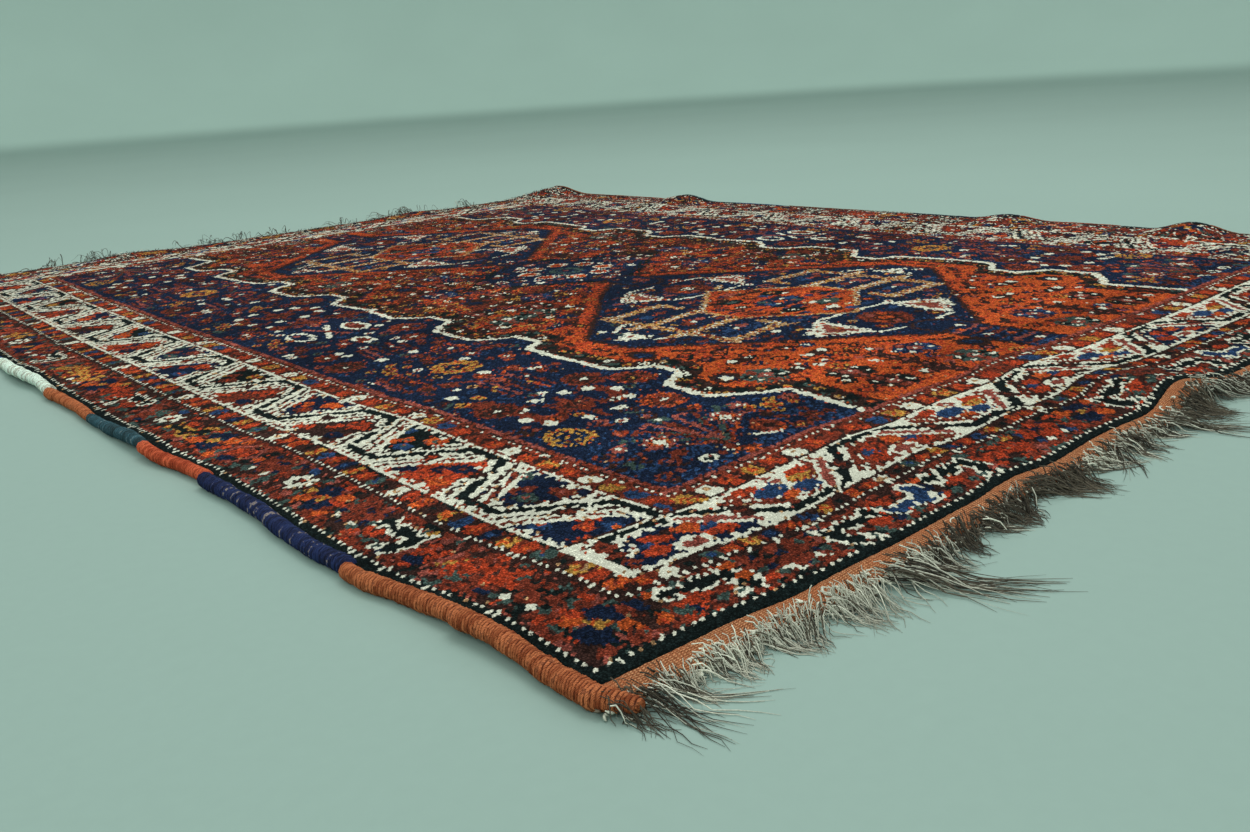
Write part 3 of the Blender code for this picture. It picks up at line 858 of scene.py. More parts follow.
def draw_ground_figure(loom, kind, row, column, flip, up=1):
    if kind == "white":
        loom.blob(row, column, 2.2, 2.0, "w", 0.35)
    elif kind == "pair":
        loom.blob(row - 1, column, 3.4, 7.0, "d", 0.4)
        for s in (-1, 1):
            loom.blob(row, column + s * 3.9, 2.0, 1.9, "w", 0.35)
    elif kind == "gold":
        loom.stamp(BLOSSOM, row, column, "xgydzr")
    elif kind == "dark":
        loom.stamp(CURL, row, column, loom.pick(("xdyrzk", "xkypzd", "xdywzn")), flip)
        loom.stamp(BUD, row + 4, column + loom.pick((-6, 6)), "xdyn")
    elif kind == "dark_ring":
        loom.disc(row, column, (6.2, 5.4, "d", 0.25), (3.6, 3.0, "n", 0.3))
    elif kind == "cluster":
        loom.stamp(SPRIG, row, column, "xdygzd")
        loom.stamp(BUD, row - 4, column + 7, "xkyw")
    elif kind == "stem":
        loom.trail([(row - 17, column), (row + 17, column)], 4.6, "d", ragged=0.7)
        loom.trail([(row - 17, column), (row + 17, column)], 1.4, "p", gap=2)
        for k in range(5):
            at = row - 14 + k * 7.0
            for s in (-1, 1):
                loom.trail([(at, column), (at + 4, column + s * 6)], 1.8, "d", ragged=0.5)
                loom.blob(at + 5, column + s * 6.5, 1.4, 1.4, "pbrw"[k % 4], 0.3)
    elif kind.startswith("flower"):
        ground, mid = {"dark": ("d", "k"), "teal": ("t", "k"), "blue": ("n", "u")}[kind.split("_")[1]]
        loom.blob(row, column, 7.8, 8.0, ground, 0.25)
        loom.ring(row, column, 5.4, 7, 2.1, mid + ground + "b")
        loom.ring(row, column, 5.6, 6, 1.0, "wpw", 0.5)
        loom.disc(row, column, (2.8, 2.6, "p", 0.35), (1.1, 1.0, "w", 0.3))


def draw_medallion(loom, row, column, up):
    """Navy medallion with cut-off sides, and the figures inside it."""
    wide, high, cut, pole = 89.0, 88.0, 11.0, 12.5
    waist = row - up * 3.0

    def outline(grow):
        w, h = wide + grow, high + grow
        c, p = cut + grow * 0.4, pole + grow * 0.5
        return [(waist - c, column - w), (row - h, column - p), (row - h, column + p), (waist - c, column + w),
                (waist + c, column + w), (row + h, column + p), (row + h, column - p), (waist + c, column - w)]

    edge = outline(9.4)
    loom.trail(edge + edge[:1], 2.8, "d", gap=9, ragged=0.9)
    loom.polygon(outline(7.6), "r", 1.0)
    loom.polygon(outline(2.8), "d", 1.2)
    ring = outline(2.4)
    loom.trail(ring + ring[:1], 1.3, "b", gap=2, ragged=0.5)
    loom.polygon(outline(0.4), "n", 0.6)

    # Hooked squares at both sides, a toothed triangle outside them
    for side in (-1, 1):
        tip = column + side * 85.5
        loom.polygon([(row - 10, column + side * 74), (row - 3, tip), (row + 6, column + side * 74)], "w",
                     0.7, 0.8)
        for k in range(5):
            loom.blob(row + loom.chance.uniform(-7, 7), column + side * loom.chance.uniform(75, 80), 1.2,
                      1.2, "tdbp"[k % 4], 0.4)
        loom.trail([(row + 9, column + side * 77), (row + 17, column + side * 66)], 1.8, "w", ragged=0.5)
        loom.trail([(row - 12, column + side * 77), (row - 17, column + side * 66)], 1.5, "w", ragged=0.5)
        post = column + side * 62.0
        inner = column + side * 32.0
        for level in (-36, -14, 8, 30):
            at = row + level
            loom.trail([(at, post + side * (7 if level in (-14, 8) else 0)), (at, inner)], 5.2, "a",
                       ragged=1.0)
            loom.trail([(at, post), (at, inner)], 0.9, "b" if level in (-36, 30) else "w", gap=2,
                       ragged=0.4)
        loom.trail([(row - 38, post), (row + 32, post)], 4.8, "a", ragged=0.9)
        loom.trail([(row - 38, post), (row + 32, post)], 1.1, "b", gap=3, ragged=0.4)
        for low, top in ((-36, -26), (20, 30)):
            loom.trail([(row + low, inner), (row + top, inner)], 4.6, "a", ragged=0.9)
        for level, dyes in ((-25, "up"), (-3, "bp"), (19, "ub")):
            middle = (post + inner) / 2
            loom.blob(row + level, middle, 5.0, 8.0, "n", 0.3)
            loom.blob(row + level, middle - 4, 2.6, 3.2, dyes[0], 0.4)
            loom.blob(row + level + 1, middle + 5, 2.4, 2.8, dyes[1], 0.4)
            loom.blob(row + level, middle, 1.2, 1.4, "wr"[level > 0], 0.4)

    # Triangles with ivory edges above and below, and dark rosettes between them
    for level in (-1, 1):
        at = row + level * (50.0 if level == up else 58.0)
        for side in (-1, 1):
            x = column + side * 20.0
            tip = column + side * (39.0 if level < 0 else 36.0)
            loom.polygon([(at - 15.5, x), (at + 15.5, x), (at + 3, tip), (at - 2, tip)], "w", 0.8, 0.8)
            loom.polygon([(at - 9, x + side * 3), (at + 9, x + side * 3), (at, tip - side * 6)], "p", 0.9)
            for k in range(20):
                loom.blob(at + loom.chance.uniform(-11, 11), x + side * loom.chance.uniform(1, 15), 1.1,
                          1.1, "oapb"[k % 4], 0.4)
            for end in (-1, 1):
                loom.trail([(at + end * 15.5, x), (at + end * 17.0, x - side * 15)], 1.8, "w", ragged=0.6)
        rosette(loom, at, column, 11.0, "b", "d", "p")
        loom.ring(at, column, 6.8, 7, 2.0, "brp")
        loom.blob(at, column, 3.0, 3.2, "r" if level < 0 else "w", 0.3)
        loom.disc(row + level * 82.0, column, (5.0, 6.2, "b", 0.4), (2.4, 2.8, "r", 0.4))

    # The red lozenge at the centre
    red = [(row - 16, column - 31.5), (row - 42, column), (row - 16, column + 31.5),
           (row + 4, column + 31.5), (row + 36, column), (row + 4, column - 31.5)]
    middle = row - 4

    def inset(share):
        return [(middle + (r - middle) * share, column + (c - column) * share) for r, c in red]

    loom.polygon(inset(1.08), "a", 0.8)
    loom.polygon(inset(1.0), "r", 0.5)
    for k in range(120):
        place = middle + loom.chance.uniform(-34, 34), column + loom.chance.uniform(-28, 28)
        size = loom.chance.uniform(1.4, 3.0)
        if loom.fits(*place, 3, "rab"):
            loom.blob(*place, size, size * 1.3, "bndbkubadw"[k % 10], 0.5)
    for k in range(260):
        place = row + loom.chance.uniform(-62, 62), column + loom.chance.uniform(-72, 72)
        if loom.fits(*place, 2, "n"):
            loom.blob(*place, 1.3, loom.chance.uniform(1.4, 3.0), "bdagbpdu"[k % 8], 0.5)
    loom.blob(row - 4, column, 8.0, 12.0, "n", 0.25)
    loom.ring(row - 4, column, 8.0, 6, 2.4, "unt", 0.3, 0.6)
    loom.ring(row - 4, column, 6.0, 4, 1.2, "wp", 0.8, 0.7)
    loom.blob(row - 4, column, 2.4, 2.8, "r", 0.3)
    for side in (-1, 1):
        loom.disc(row + 11, column + side * 12, (4.2, 5.6, "k", 0.35), (1.9, 2.6, "ta"[side > 0], 0.4))
        loom.disc(row - 20, column + side * 10, (4.0, 5.6, "kt"[side > 0], 0.35), (1.4, 1.6, "w", 0.4))
        loom.disc(row - 4, column + side * 23, (3.4, 3.2, "d", 0.4), (1.2, 1.2, "p", 0.4))
    loom.blob(row + 24, column, 2.6, 3.0, "p", 0.4)
    loom.blob(row - 32, column, 2.6, 3.0, "d", 0.4)


# What is scattered over a ground until it is full: (chart, dyes by turns)
PANEL_FILL = (
    (BLOSSOM, ("xbydzr", "xbypzd", "xdybzr", "xbyrzw", "xbydzg", "xdyuzp")),
    (CURL, ("xbypzd", "xbydzb", "xpybzb", "xdybzt", "xbyrzd")),
    (SPRIG, ("xbypzd", "xbydzb", "xdybzt", "xbyrzd")),
    (BUD, ("xbyd", "xtyb", "xpyb", "xgyb", "xdyb", "xryb", "xayd", "xwyw")),
    (BUD, ("xdyb", "xuyn", "xdyd", "xtyd", "xwyp")),
)
GROUND_FILL = (
    (BLOSSOM, ("xdynzp", "xkydzw", "xnyuzw", "xdykzg", "xbydzn")),
    (CURL, ("xdybzk", "xkyrzd", "xbypzd", "xnydzb", "xbydzd")),
    (SPRIG, ("xdybzd", "xkygzd", "xdypzb", "xnydzd")),
    (CURL, ("xbydzb", "xdyrzb", "xdykzd")),
    (BUD, ("xdyk", "xkyp", "xwyd", "xnyu", "xgyd", "xdyb", "xbyd", "xdyd")),
)


def scatter(loom, where, ground, figures, tries):
    """Fills what is left of a ground with small figures, as the weaver does."""
    rows, columns = where
    for k in range(tries):
        row = loom.chance.uniform(rows.start + 3, rows.stop - 3)
        column = loom.chance.uniform(columns.start + 3, columns.stop - 3)
        art, dyes = figures[k % len(figures)]
        half = max(len(art), len(art[0])) // 2 + 1
        if loom.fits(row, column, half, ground):
            loom.stamp(art, row, column, loom.pick(dyes), loom.chance.random() < 0.5)


# Figures that fill the red ground by chance
GROUND_FIGURES = ("flower_dark", "dark", "flower_blue", "cluster",
                  "dark_ring", "flower_teal", "dark", "gold")
# Patches on the red ground, from so many knots before the middle on: (dye, share, size)
FAR_PATCHES = (("b", 0.24, 8.0), ("d", 0.24, 8.0), ("n", 0.17, 7.0), ("g", 0.05, 3.0), ("a", 0.03, 2.6))
FAR_PATCHES_START = 105


def draw_field(loom, rows, columns, side_first, end_first):
    knots = 1.0 / (KNOT * 1000)
    half_r, axis = rows / 2, AXIS * knots
    inner = (slice(end_first, rows - end_first), slice(side_first, columns - side_first))
    loom.chart[inner] = DYE["n"]
    quarters = [Quarter(loom, side, end) for side in (-1, 1) for end in (-1, 1)]
    lines = []
    for quarter in quarters:
        line = [quarter.spot(across, along) for along, across in STEP_LINE]
        line = [(r + loom.chance.uniform(-0.4, 0.4), c + loom.chance.uniform(-0.4, 0.4)) for r, c in line]
        loom.polygon(line + [(half_r, axis), (line[0][0], axis)], "r", 0.3)
        last = line[-1][1]
        seam = [(half_r - 3, axis), (half_r - 3, last), (half_r + 3, last), (half_r + 3, axis)]
        loom.polygon(seam, "r", 0.2)
        lines.append(line)
    panel = loom.chart == DYE["n"]
    ground = loom.chart == DYE["r"]
    beyond = (slice(int(half_r) - FAR_PATCHES_START, rows - end_first),
              slice(side_first, columns - side_first))
    plain = loom.chart.copy()
    for dye, share, size in FAR_PATCHES:
        loom.mottle(beyond, dye, share, size)
    loom.chart = np.where(ground, loom.chart, plain)
    for end in (-1, 1):
        foot = half_r + end * (half_r - end_first)
        pole = [(foot, axis), (half_r + end * 60, axis)]
        loom.trail(pole, 36, "o", ragged=0.6)
    # The figures at the centre of the rug
    for high, wide, dye in ((50, 62, "k"), (46, 57, "n")):
        diamond = [(half_r - high, axis), (half_r, axis - wide), (half_r + high, axis),
                   (half_r, axis + wide)]
        loom.polygon(diamond, dye, 0.6, 0.8)
    for quarter, line in zip(quarters, lines):
        inwards = -quarter.side
        inside = [(r, c + inwards * 6.0) for r, c in line]
        loom.trail(inside, 9.0, "d", ragged=0.8)
        loom.trail(inside, 6.0, "k", gap=5, ragged=0.8)
        for (r0, c0), (r1, c1) in zip(inside, inside[1:]):
            count = max(1, int(abs(r1 - r0) / 4.5))
            for k in range(count):
                share = (k + 0.5) / count
                place = r0 + (r1 - r0) * share, c0 + (c1 - c0) * share + loom.chance.uniform(-3.0, 3.0)
                loom.blob(*place, 1.7, 1.6, loom.pick("gatgwtbg"), 0.4)
                loom.blob(*place, 0.7, 0.7, loom.pick("rdk"), 0.4)
        loom.trail(line, 2.9, "w", ragged=0.5)
    for end in (-1, 1):
        centre = half_r + end * (half_r - CENTRE * knots)
        draw_medallion(loom, centre, axis, -end)
        foot = half_r + end * (half_r - end_first)
        for start, stop in ((foot, centre + end * 82), (centre - end * 82, half_r + end * 46)):
            loom.trail([(start, axis), (stop, axis)], 21, "d", ragged=0.8)
            loom.trail([(start, axis), (stop, axis)], 17, "n", ragged=0.6)
        for k in range(7):
            at = foot - end * (4 + k * 5.4)
            loom.trail([(at, axis - 7), (at + 2, axis + 7)], 1.6, "bpdb"[k % 4], ragged=0.6)
            loom.blob(at + 2, axis + (-1) ** k * 3, 1.5, 1.5, "wpr"[k % 3], 0.4)
    for quarter in quarters:
        for figures, draw in ((GROUND, draw_ground_figure), (PANEL, draw_panel_figure)):
            for kind, across, along in figures:
                if quarter.end > 0:
                    kind = {"chain": "palmette", "white_ring": "bloom_gold"}.get(kind, kind)
                row, column = quarter.spot(across, along)
                row += loom.chance.uniform(-1.2, 1.2)
                column += loom.chance.uniform(-1.2, 1.2)
                draw(loom, kind, row, column, quarter.side > 0, -quarter.end)
    loom.ring(half_r, axis, 19, 8, 5.4, "w", 0.39)
    loom.ring(half_r, axis, 19, 8, 3.7, "ro", 0.39)
    loom.ring(half_r, axis, 19, 8, 1.3, "bdw", 0.39)
    rosette(loom, half_r, axis, 9.0, "t", "n", "p")
    for side in (-1, 1):
        loom.stamp(BLOSSOM, half_r, axis + side * 38, "xwyrzn")
        loom.stamp(BLOSSOM, half_r + side * 33, axis, "xpyrzw")
        for end in (-1, 1):
            loom.blob(half_r + end * 18, axis + side * 28, 2.2, 2.2, "w", 0.3)
            loom.stamp(CURL, half_r + end * 9, axis + side * 44, "xpyrzb", side > 0)
    for k in range(1600):
        row = loom.chance.uniform(inner[0].start, inner[0].stop)
        column = axis + loom.chance.uniform(-110, 110)
        wanted = 0.25 if row < 150 else 1.0
        if loom.chance.random() < wanted and loom.fits(row, column, 6, "rob"):
            draw_ground_figure(loom, loom.pick(GROUND_FIGURES), row, column, k % 2 == 0)
    scatter(loom, inner, "n", PANEL_FILL, 9000)
    scatter(loom, inner, "rob", GROUND_FILL, 9000)
    dull = panel & np.isin(loom.chart, [DYE["r"], DYE["o"]])
    loom.chart[dull] = loom.chance.choice(dye_numbers("rrbbdp"), loom.chart.shape)[dull]
    faint = ground & (loom.chart == DYE["w"]) & (loom.chance.random(loom.chart.shape) < 0.4)
    faint[:beyond[0].start] = False
    loom.chart[faint] = loom.chance.choice(dye_numbers("gbpdr"), loom.chart.shape)[faint]


# How dyes give way to others along the rug: dye, other dye, (share of the rug's length, share of the knots)
DRIFTS = (
    ("r", "o", ((0.0, 0.85), (0.26, 0.72), (0.34, 0.40), (0.45, 0.20), (0.66, 0.15), (0.78, 0.30),
                (1.0, 0.25))),
    ("r", "b", ((0.0, 0.10), (0.28, 0.22), (0.42, 0.40), (0.60, 0.40), (0.75, 0.34), (1.0, 0.34))),
    ("n", "u", ((0.0, 0.30), (0.13, 0.26), (0.16, 0.08), (0.22, 0.05), (0.235, 0.18), (0.26, 0.05),
                (1.0, 0.06))),
    ("a", "g", ((0.0, 0.28), (1.0, 0.28))),
    ("a", "b", ((0.0, 0.26), (1.0, 0.26))),
    ("a", "w", ((0.0, 0.16), (1.0, 0.16))),
)


def fray(chart, steady, field, chance):
    """Lets knots slip by a place, changes a few by mistake, and lets dyes drift along the rug."""
    rows, columns = chart.shape
    r, c = np.mgrid[0:rows, 0:columns]
    slip = (chance.random(chart.shape) < 0.20) & ~steady
    rr = np.clip(r + slip * chance.integers(-1, 2, chart.shape), 0, rows - 1)
    cc = np.clip(c + slip * chance.integers(-1, 2, chart.shape), 0, columns - 1)
    chart = chart[rr, cc]
    wrong = (chance.random(chart.shape) < 0.018) & ~steady
    chart = np.where(wrong, chance.choice(dye_numbers("bdkapr"), chart.shape), chart)
    share = np.linspace(0, 1, rows)
    for dye, other, table in DRIFTS:
        chances = np.interp(share, [row[0] for row in table], [row[1] for row in table])[:, None]
        uneven = np.repeat(chance.normal(0, 0.5, (rows + 2) // 3 + 1), 3)[:rows, None]
        chances = chances * np.clip(1 + uneven, 0, 2)
        lean = (chart[field] == DYE[dye]) & (chance.random(chart[field].shape) < chances[field[0]])
        chart[field] = np.where(lean, DYE[other], chart[field])
    for dye, other, near, far in (("r", "b", 0.20, 0.50), ("o", "r", 0.16, 0.45), ("b", "d", 0.14, 0.42),
                                  ("g", "o", 0.16, 0.10), ("g", "b", 0.14, 0.30), ("w", "a", 0.03, 0.10)):
        lean = (chart == DYE[dye]) & (chance.random(chart.shape) < (near + (far - near) * share)[:, None])
        chart = np.where(lean, DYE[other], chart)
    return chart


def wear(chart, first, chance):
    """Breaks up the border along the right side, where the knots lie at all angles."""
    beside = Loom(1, 1, "n", chance)
    beside.chart = chart[:, first:].copy()
    whole = (slice(None), slice(None))
    for dye, share, size in (("b", 0.07, 2.6), ("n", 0.08, 2.2), ("r", 0.04, 2.2), ("k", 0.04, 2.0),
                             ("w", 0.05, 1.6)):
        beside.mottle(whole, dye, share, size)
    chart[:, first:-3] = beside.chart[:, :-3]
    return chart


def weave(rows, columns, chance):
    side_first = sum(count for name, count in SIDE_BANDS)
    end_first = sum(count for name, count in END_BANDS)
    loom = Loom(rows, columns, "n", chance)
    draw_field(loom, rows, columns, side_first, end_first)
    r_from_end = np.minimum(np.arange(rows), rows - 1 - np.arange(rows))[:, None]
    c_from_side = np.minimum(np.arange(columns), columns - 1 - np.arange(columns))[None, :]
    side_edges = np.cumsum([count for name, count in SIDE_BANDS])
    end_edges = np.cumsum([count for name, count in END_BANDS])
    side_band = np.searchsorted(side_edges, c_from_side, side="right")
    end_band = np.searchsorted(end_edges, r_from_end, side="right")
    chart = loom.chart
    sides = np.full(chart.shape, -1)
    sides[:, :side_first] = paint_border(rows, SIDE_BANDS, True, chance).T
    sides[:, columns - side_first:] = paint_border(rows, SIDE_BANDS, True, chance).T[:, ::-1]
    ends = np.full(chart.shape, -1)
    ends[:end_first, :] = paint_border(columns, END_BANDS, False, chance)
    ends[rows - end_first:, :] = paint_border(columns, END_BANDS, False, chance)[::-1, :]
    tie = (side_band == end_band) & (end_band >= MAIN)
    use_side = (side_band <= end_band) & (sides >= 0) & ~tie
    use_end = ((end_band < side_band) | tie) & (ends >= 0)
    chart = np.where(use_side, sides, chart)
    chart = np.where(use_end, ends, chart)
    # The ivory rails meet in the corners
    rail = side_edges[MAIN - 1] + 1
    low, high = end_edges[MAIN - 1] + 1, end_edges[MAIN] - 2
    for part in (slice(low, high), slice(rows - high, rows - low)):
        for column in (rail, rail + 1, columns - rail - 1, columns - rail - 2):
            chart[part, column] = DYE["w"]
    corner = chart[end_edges[MAIN - 2]:end_edges[MAIN], side_edges[MAIN - 2]:side_edges[MAIN - 1]]
    corner[corner == DYE["w"]] = DYE["g"]
    # Between its corners the near end's border lies one row further out, over a narrower guard
    chart[:50, 55:-30] = chart[1:51, 55:-30]
    field = (slice(end_first, rows - end_first), slice(side_first, columns - side_first))
    chart = wear(chart, columns - side_first, chance)
    steady = np.isin(np.minimum(side_band, end_band), STEADY_BANDS)
    return fray(chart, steady, field, chance)


# The cloth's shape

def eased(table, places, column=1):
    """A table's column at many places, eased between its rows."""
    at = np.array([row[0] for row in table])
    value = np.array([row[column] for row in table])
    places = np.clip(places, at[0], at[-1])
    index = np.clip(np.searchsorted(at, places, side="right") - 1, 0, len(at) - 2)
    share = (places - at[index]) / (at[index + 1] - at[index])
    return value[index] + (value[index + 1] - value[index]) * share * share * (3 - 2 * share)


def lift(across, along):
    """Height of the cloth's underside above the floor."""
    height = np.zeros(np.broadcast(across, along).shape)
    for side, place, top, half_width, reach in RIPPLES:
        inwards, beside = {
            "left": (across, along),
            "right": (PILE_WIDTH - across, along),
            "near": (along, across),
            "far": (PILE_LENGTH - along, across),
        }[side]
        offset = np.clip(np.abs(beside - place) / half_width, 0, 1)
        inner = np.clip(inwards / reach, 0, 1)
        hump = np.cos(offset * math.pi / 2) ** 2 * (1 - inner * inner * (3 - 2 * inner))
        height = np.maximum(height, top * hump)
    return height


def place_on_rug(across, along):
    """Flat x and y of points given in metres from the left side and from the near end."""
    s = np.clip(across / PILE_WIDTH, 0, 1)
    t = np.clip(along / PILE_LENGTH, 0, 1)
    x = across - PILE_WIDTH / 2 - (1 - s) * eased(LEFT_WANDER, along) + s * eased(RIGHT_WANDER, along)
    y = along - PILE_LENGTH / 2 - (1 - t) * eased(NEAR_WANDER, across) + t * eased(FAR_WANDER, across)
    return x, y


def end_point(end, across, outwards):
    """x, y and lift at a distance out from an end of the pile."""
    within = np.clip(across, 0, PILE_WIDTH)
    along = np.full(np.shape(within), 0.0 if end == "near" else PILE_LENGTH)
    x, y = place_on_rug(within, along)
    direction = -1.0 if end == "near" else 1.0
    return x + across - within, y + direction * outwards, lift(within, along)


def smooth_noise(chance, count, size):
    """A wandering line of values from -1 to 1, one turn for about each size steps."""
    knots = chance.uniform(-1, 1, int(count / size) + 4)
    place = np.arange(count) / size
    index = place.astype(int)
    share = place - index
    share = share * share * (3 - 2 * share)
    return knots[index] * (1 - share) + knots[index + 1] * share


# Meshes

def new_piece(name, points, faces, finish, attributes=()):
    """A smooth mesh object with its finish and its point attributes (name, type, values)."""
    mesh = bpy.data.meshes.new(name)
    faces = np.asarray(faces, dtype=np.int32)
    corners = faces.shape[1]
    mesh.vertices.add(len(points))
    mesh.vertices.foreach_set("co", np.asarray(points, dtype=np.float32).ravel())
    mesh.loops.add(faces.size)
    mesh.loops.foreach_set("vertex_index", faces.ravel())
    mesh.polygons.add(len(faces))
    mesh.polygons.foreach_set("loop_start", np.arange(0, faces.size, corners, dtype=np.int32))
    mesh.update(calc_edges=True)
    mesh.shade_smooth()
    for label, kind, values in attributes:
        made = mesh.attributes.new(label, kind, "POINT")
        field = {"FLOAT": "value", "FLOAT_VECTOR": "vector", "FLOAT_COLOR": "color"}[kind]
        made.data.foreach_set(field, np.asarray(values, dtype=np.float32).ravel())
    mesh.materials.append(finish)
    piece = bpy.data.objects.new(name, mesh)
    bpy.context.scene.collection.objects.link(piece)
    return piece


def grid_faces(rows, columns):
    """Quads over a grid of points that is laid out row by row, facing up."""
    index = np.arange(rows * columns).reshape(rows, columns)
    return np.stack([index[:-1, :-1], index[:-1, 1:], index[1:, 1:], index[1:, :-1]], -1).reshape(-1, 4)


def tubes(paths, radii, sides):
    """Yarns along many paths: points, faces, and each point's yarn and share of its length."""
    count, stations = paths.shape[:2]
    ahead = np.gradient(paths, axis=1)
    ahead /= np.maximum(np.linalg.norm(ahead, axis=2, keepdims=True), 1e-9)
    beside = np.cross(ahead, np.array([0.0, 0.0, 1.0]))
    upright = np.linalg.norm(beside, axis=2, keepdims=True)
    beside = np.where(upright > 0.05, beside / np.maximum(upright, 1e-9), np.array([1.0, 0.0, 0.0]))
    over = np.cross(beside, ahead)
    angle = 2 * math.pi * np.arange(sides) / sides + math.pi / 2
    ring = np.cos(angle)[:, None] * beside[:, :, None] + np.sin(angle)[:, None] * over[:, :, None]
    points = paths[:, :, None] + ring * radii[:, :, None, None]
    index = np.arange(count * stations * sides).reshape(count, stations, sides)
    following = np.roll(index, -1, axis=2)
    faces = np.stack([index[:, :-1], following[:, :-1], following[:, 1:], index[:, 1:]], -1).reshape(-1, 4)
    share = np.broadcast_to(np.linspace(0, 1, stations)[None, :, None], index.shape).ravel()
    yarn = np.broadcast_to(np.arange(count)[:, None, None], index.shape).ravel()
    return points.reshape(-1, 3), faces, yarn, share


# Shader maths as expressions

class Wire:
    """One number in a shader. Sums and products of wires add Math nodes."""

    def __init__(self, finish, socket):
        self.finish = finish
        self.socket = socket

    def math(self, operation, *others):
        return self.finish.node("ShaderNodeMath", {"operation": operation},
                                dict(enumerate((self, *others))))

    def __add__(self, other):
        return self.math("ADD", other)

    def __sub__(self, other):
        return self.math("SUBTRACT", other)

    def __rsub__(self, other):
        return self.finish.node("ShaderNodeMath", {"operation": "SUBTRACT"}, {0: other, 1: self})

    def __mul__(self, other):
        return self.math("MULTIPLY", other)

    def __truediv__(self, other):
        return self.math("DIVIDE", other)

    __radd__ = __add__
    __rmul__ = __mul__

    def ramp(self, low, high):
        """0 below low and 1 above high, eased between them."""
        settings = {"interpolation_type": "SMOOTHSTEP"}
        return self.finish.node("ShaderNodeMapRange", settings,
                                {"Value": self, "From Min": low, "From Max": high})


class Trio(Wire):
    """One colour or vector in a shader. Sums and products add Vector Math nodes."""

    def vector(self, operation, *others, output=0):
        kind = Wire if output == "Value" else Trio
        return self.finish.node("ShaderNodeVectorMath", {"operation": operation},
                                dict(enumerate((self, *others))), output, kind)

    def __add__(self, other):
        return self.vector("ADD", spread(other))

    def __sub__(self, other):
        return self.vector("SUBTRACT", spread(other))

    def __mul__(self, other):
        return self.vector("MULTIPLY", spread(other))

    __radd__ = __add__
    __rmul__ = __mul__

    def dot(self, other):
        return self.vector("DOT_PRODUCT", other, output="Value")

    def part(self, axis):
        return self.finish.node("ShaderNodeSeparateXYZ", {}, {0: self}, axis)

    def mixed(self, other, share):
        """This colour turning into another one as share goes from 0 to 1."""
        return self.finish.node("ShaderNodeMix", {"data_type": "RGBA"}, {0: share, 6: self, 7: other}, 2,
                                Trio)


def spread(value):
    """A number as three equal ones, for Vector Math."""
    return (value, value, value) if isinstance(value, (int, float)) else value


class Finish:
    """A material around one Principled shader."""

    def __init__(self, name, roughness, specular=0.25):
        self.material = bpy.data.materials.new(name)
        self.material.use_nodes = True
        self.tree = self.material.node_tree
        self.shader = self.tree.nodes["Principled BSDF"]
        self.shader.inputs["Roughness"].default_value = roughness
        self.shader.inputs["Specular IOR Level"].default_value = specular

    def node(self, kind, settings, sockets, output=0, result=Wire):
        """Adds a node: its settings first, then each socket's value or link."""
        made = self.tree.nodes.new(kind)
        for label, value in settings.items():
            setattr(made, label, value)
        for label, value in sockets.items():
            self.feed(made.inputs[label], value)
        return result(self, made.outputs[output])

    def feed(self, socket, value):
        if isinstance(value, Wire):
            self.tree.links.new(value.socket, socket)
        elif socket.type == "RGBA" and len(value) == 3:
            socket.default_value = (*value, 1.0)
        else:
            socket.default_value = value

    def place(self):
        """Where a point is on the piece, in metres."""
        return self.node("ShaderNodeTexCoord", {}, {}, "Object", Trio)

    def attribute(self, name, output="Vector", result=Trio):
        return self.node("ShaderNodeAttribute", {"attribute_name": name}, {}, output, result)

    def noise(self, place, scale, detail=2.0, output="Fac"):
        result = Trio if output == "Color" else Wire
        return self.node("ShaderNodeTexNoise", {}, {"Vector": place, "Scale": scale, "Detail": detail},
                         output, result)

    def cells(self, place, scale, output="Distance"):
        result = Trio if output == "Color" else Wire
        return self.node("ShaderNodeTexVoronoi", {}, {"Vector": place, "Scale": scale}, output, result)

    def rgb(self, red, green, blue):
        return self.node("ShaderNodeCombineXYZ", {}, {0: red, 1: green, 2: blue}, 0, Trio)

    def paint(self, colour, bump, depth, strength=1.0):
        """Feeds the shader's colour and relief."""
        self.feed(self.shader.inputs["Base Color"], colour)
        relief = {"Height": bump, "Distance": depth, "Strength": strength}
        self.feed(self.shader.inputs["Normal"], self.node("ShaderNodeBump", {}, relief))
        return self.material


# Finishes

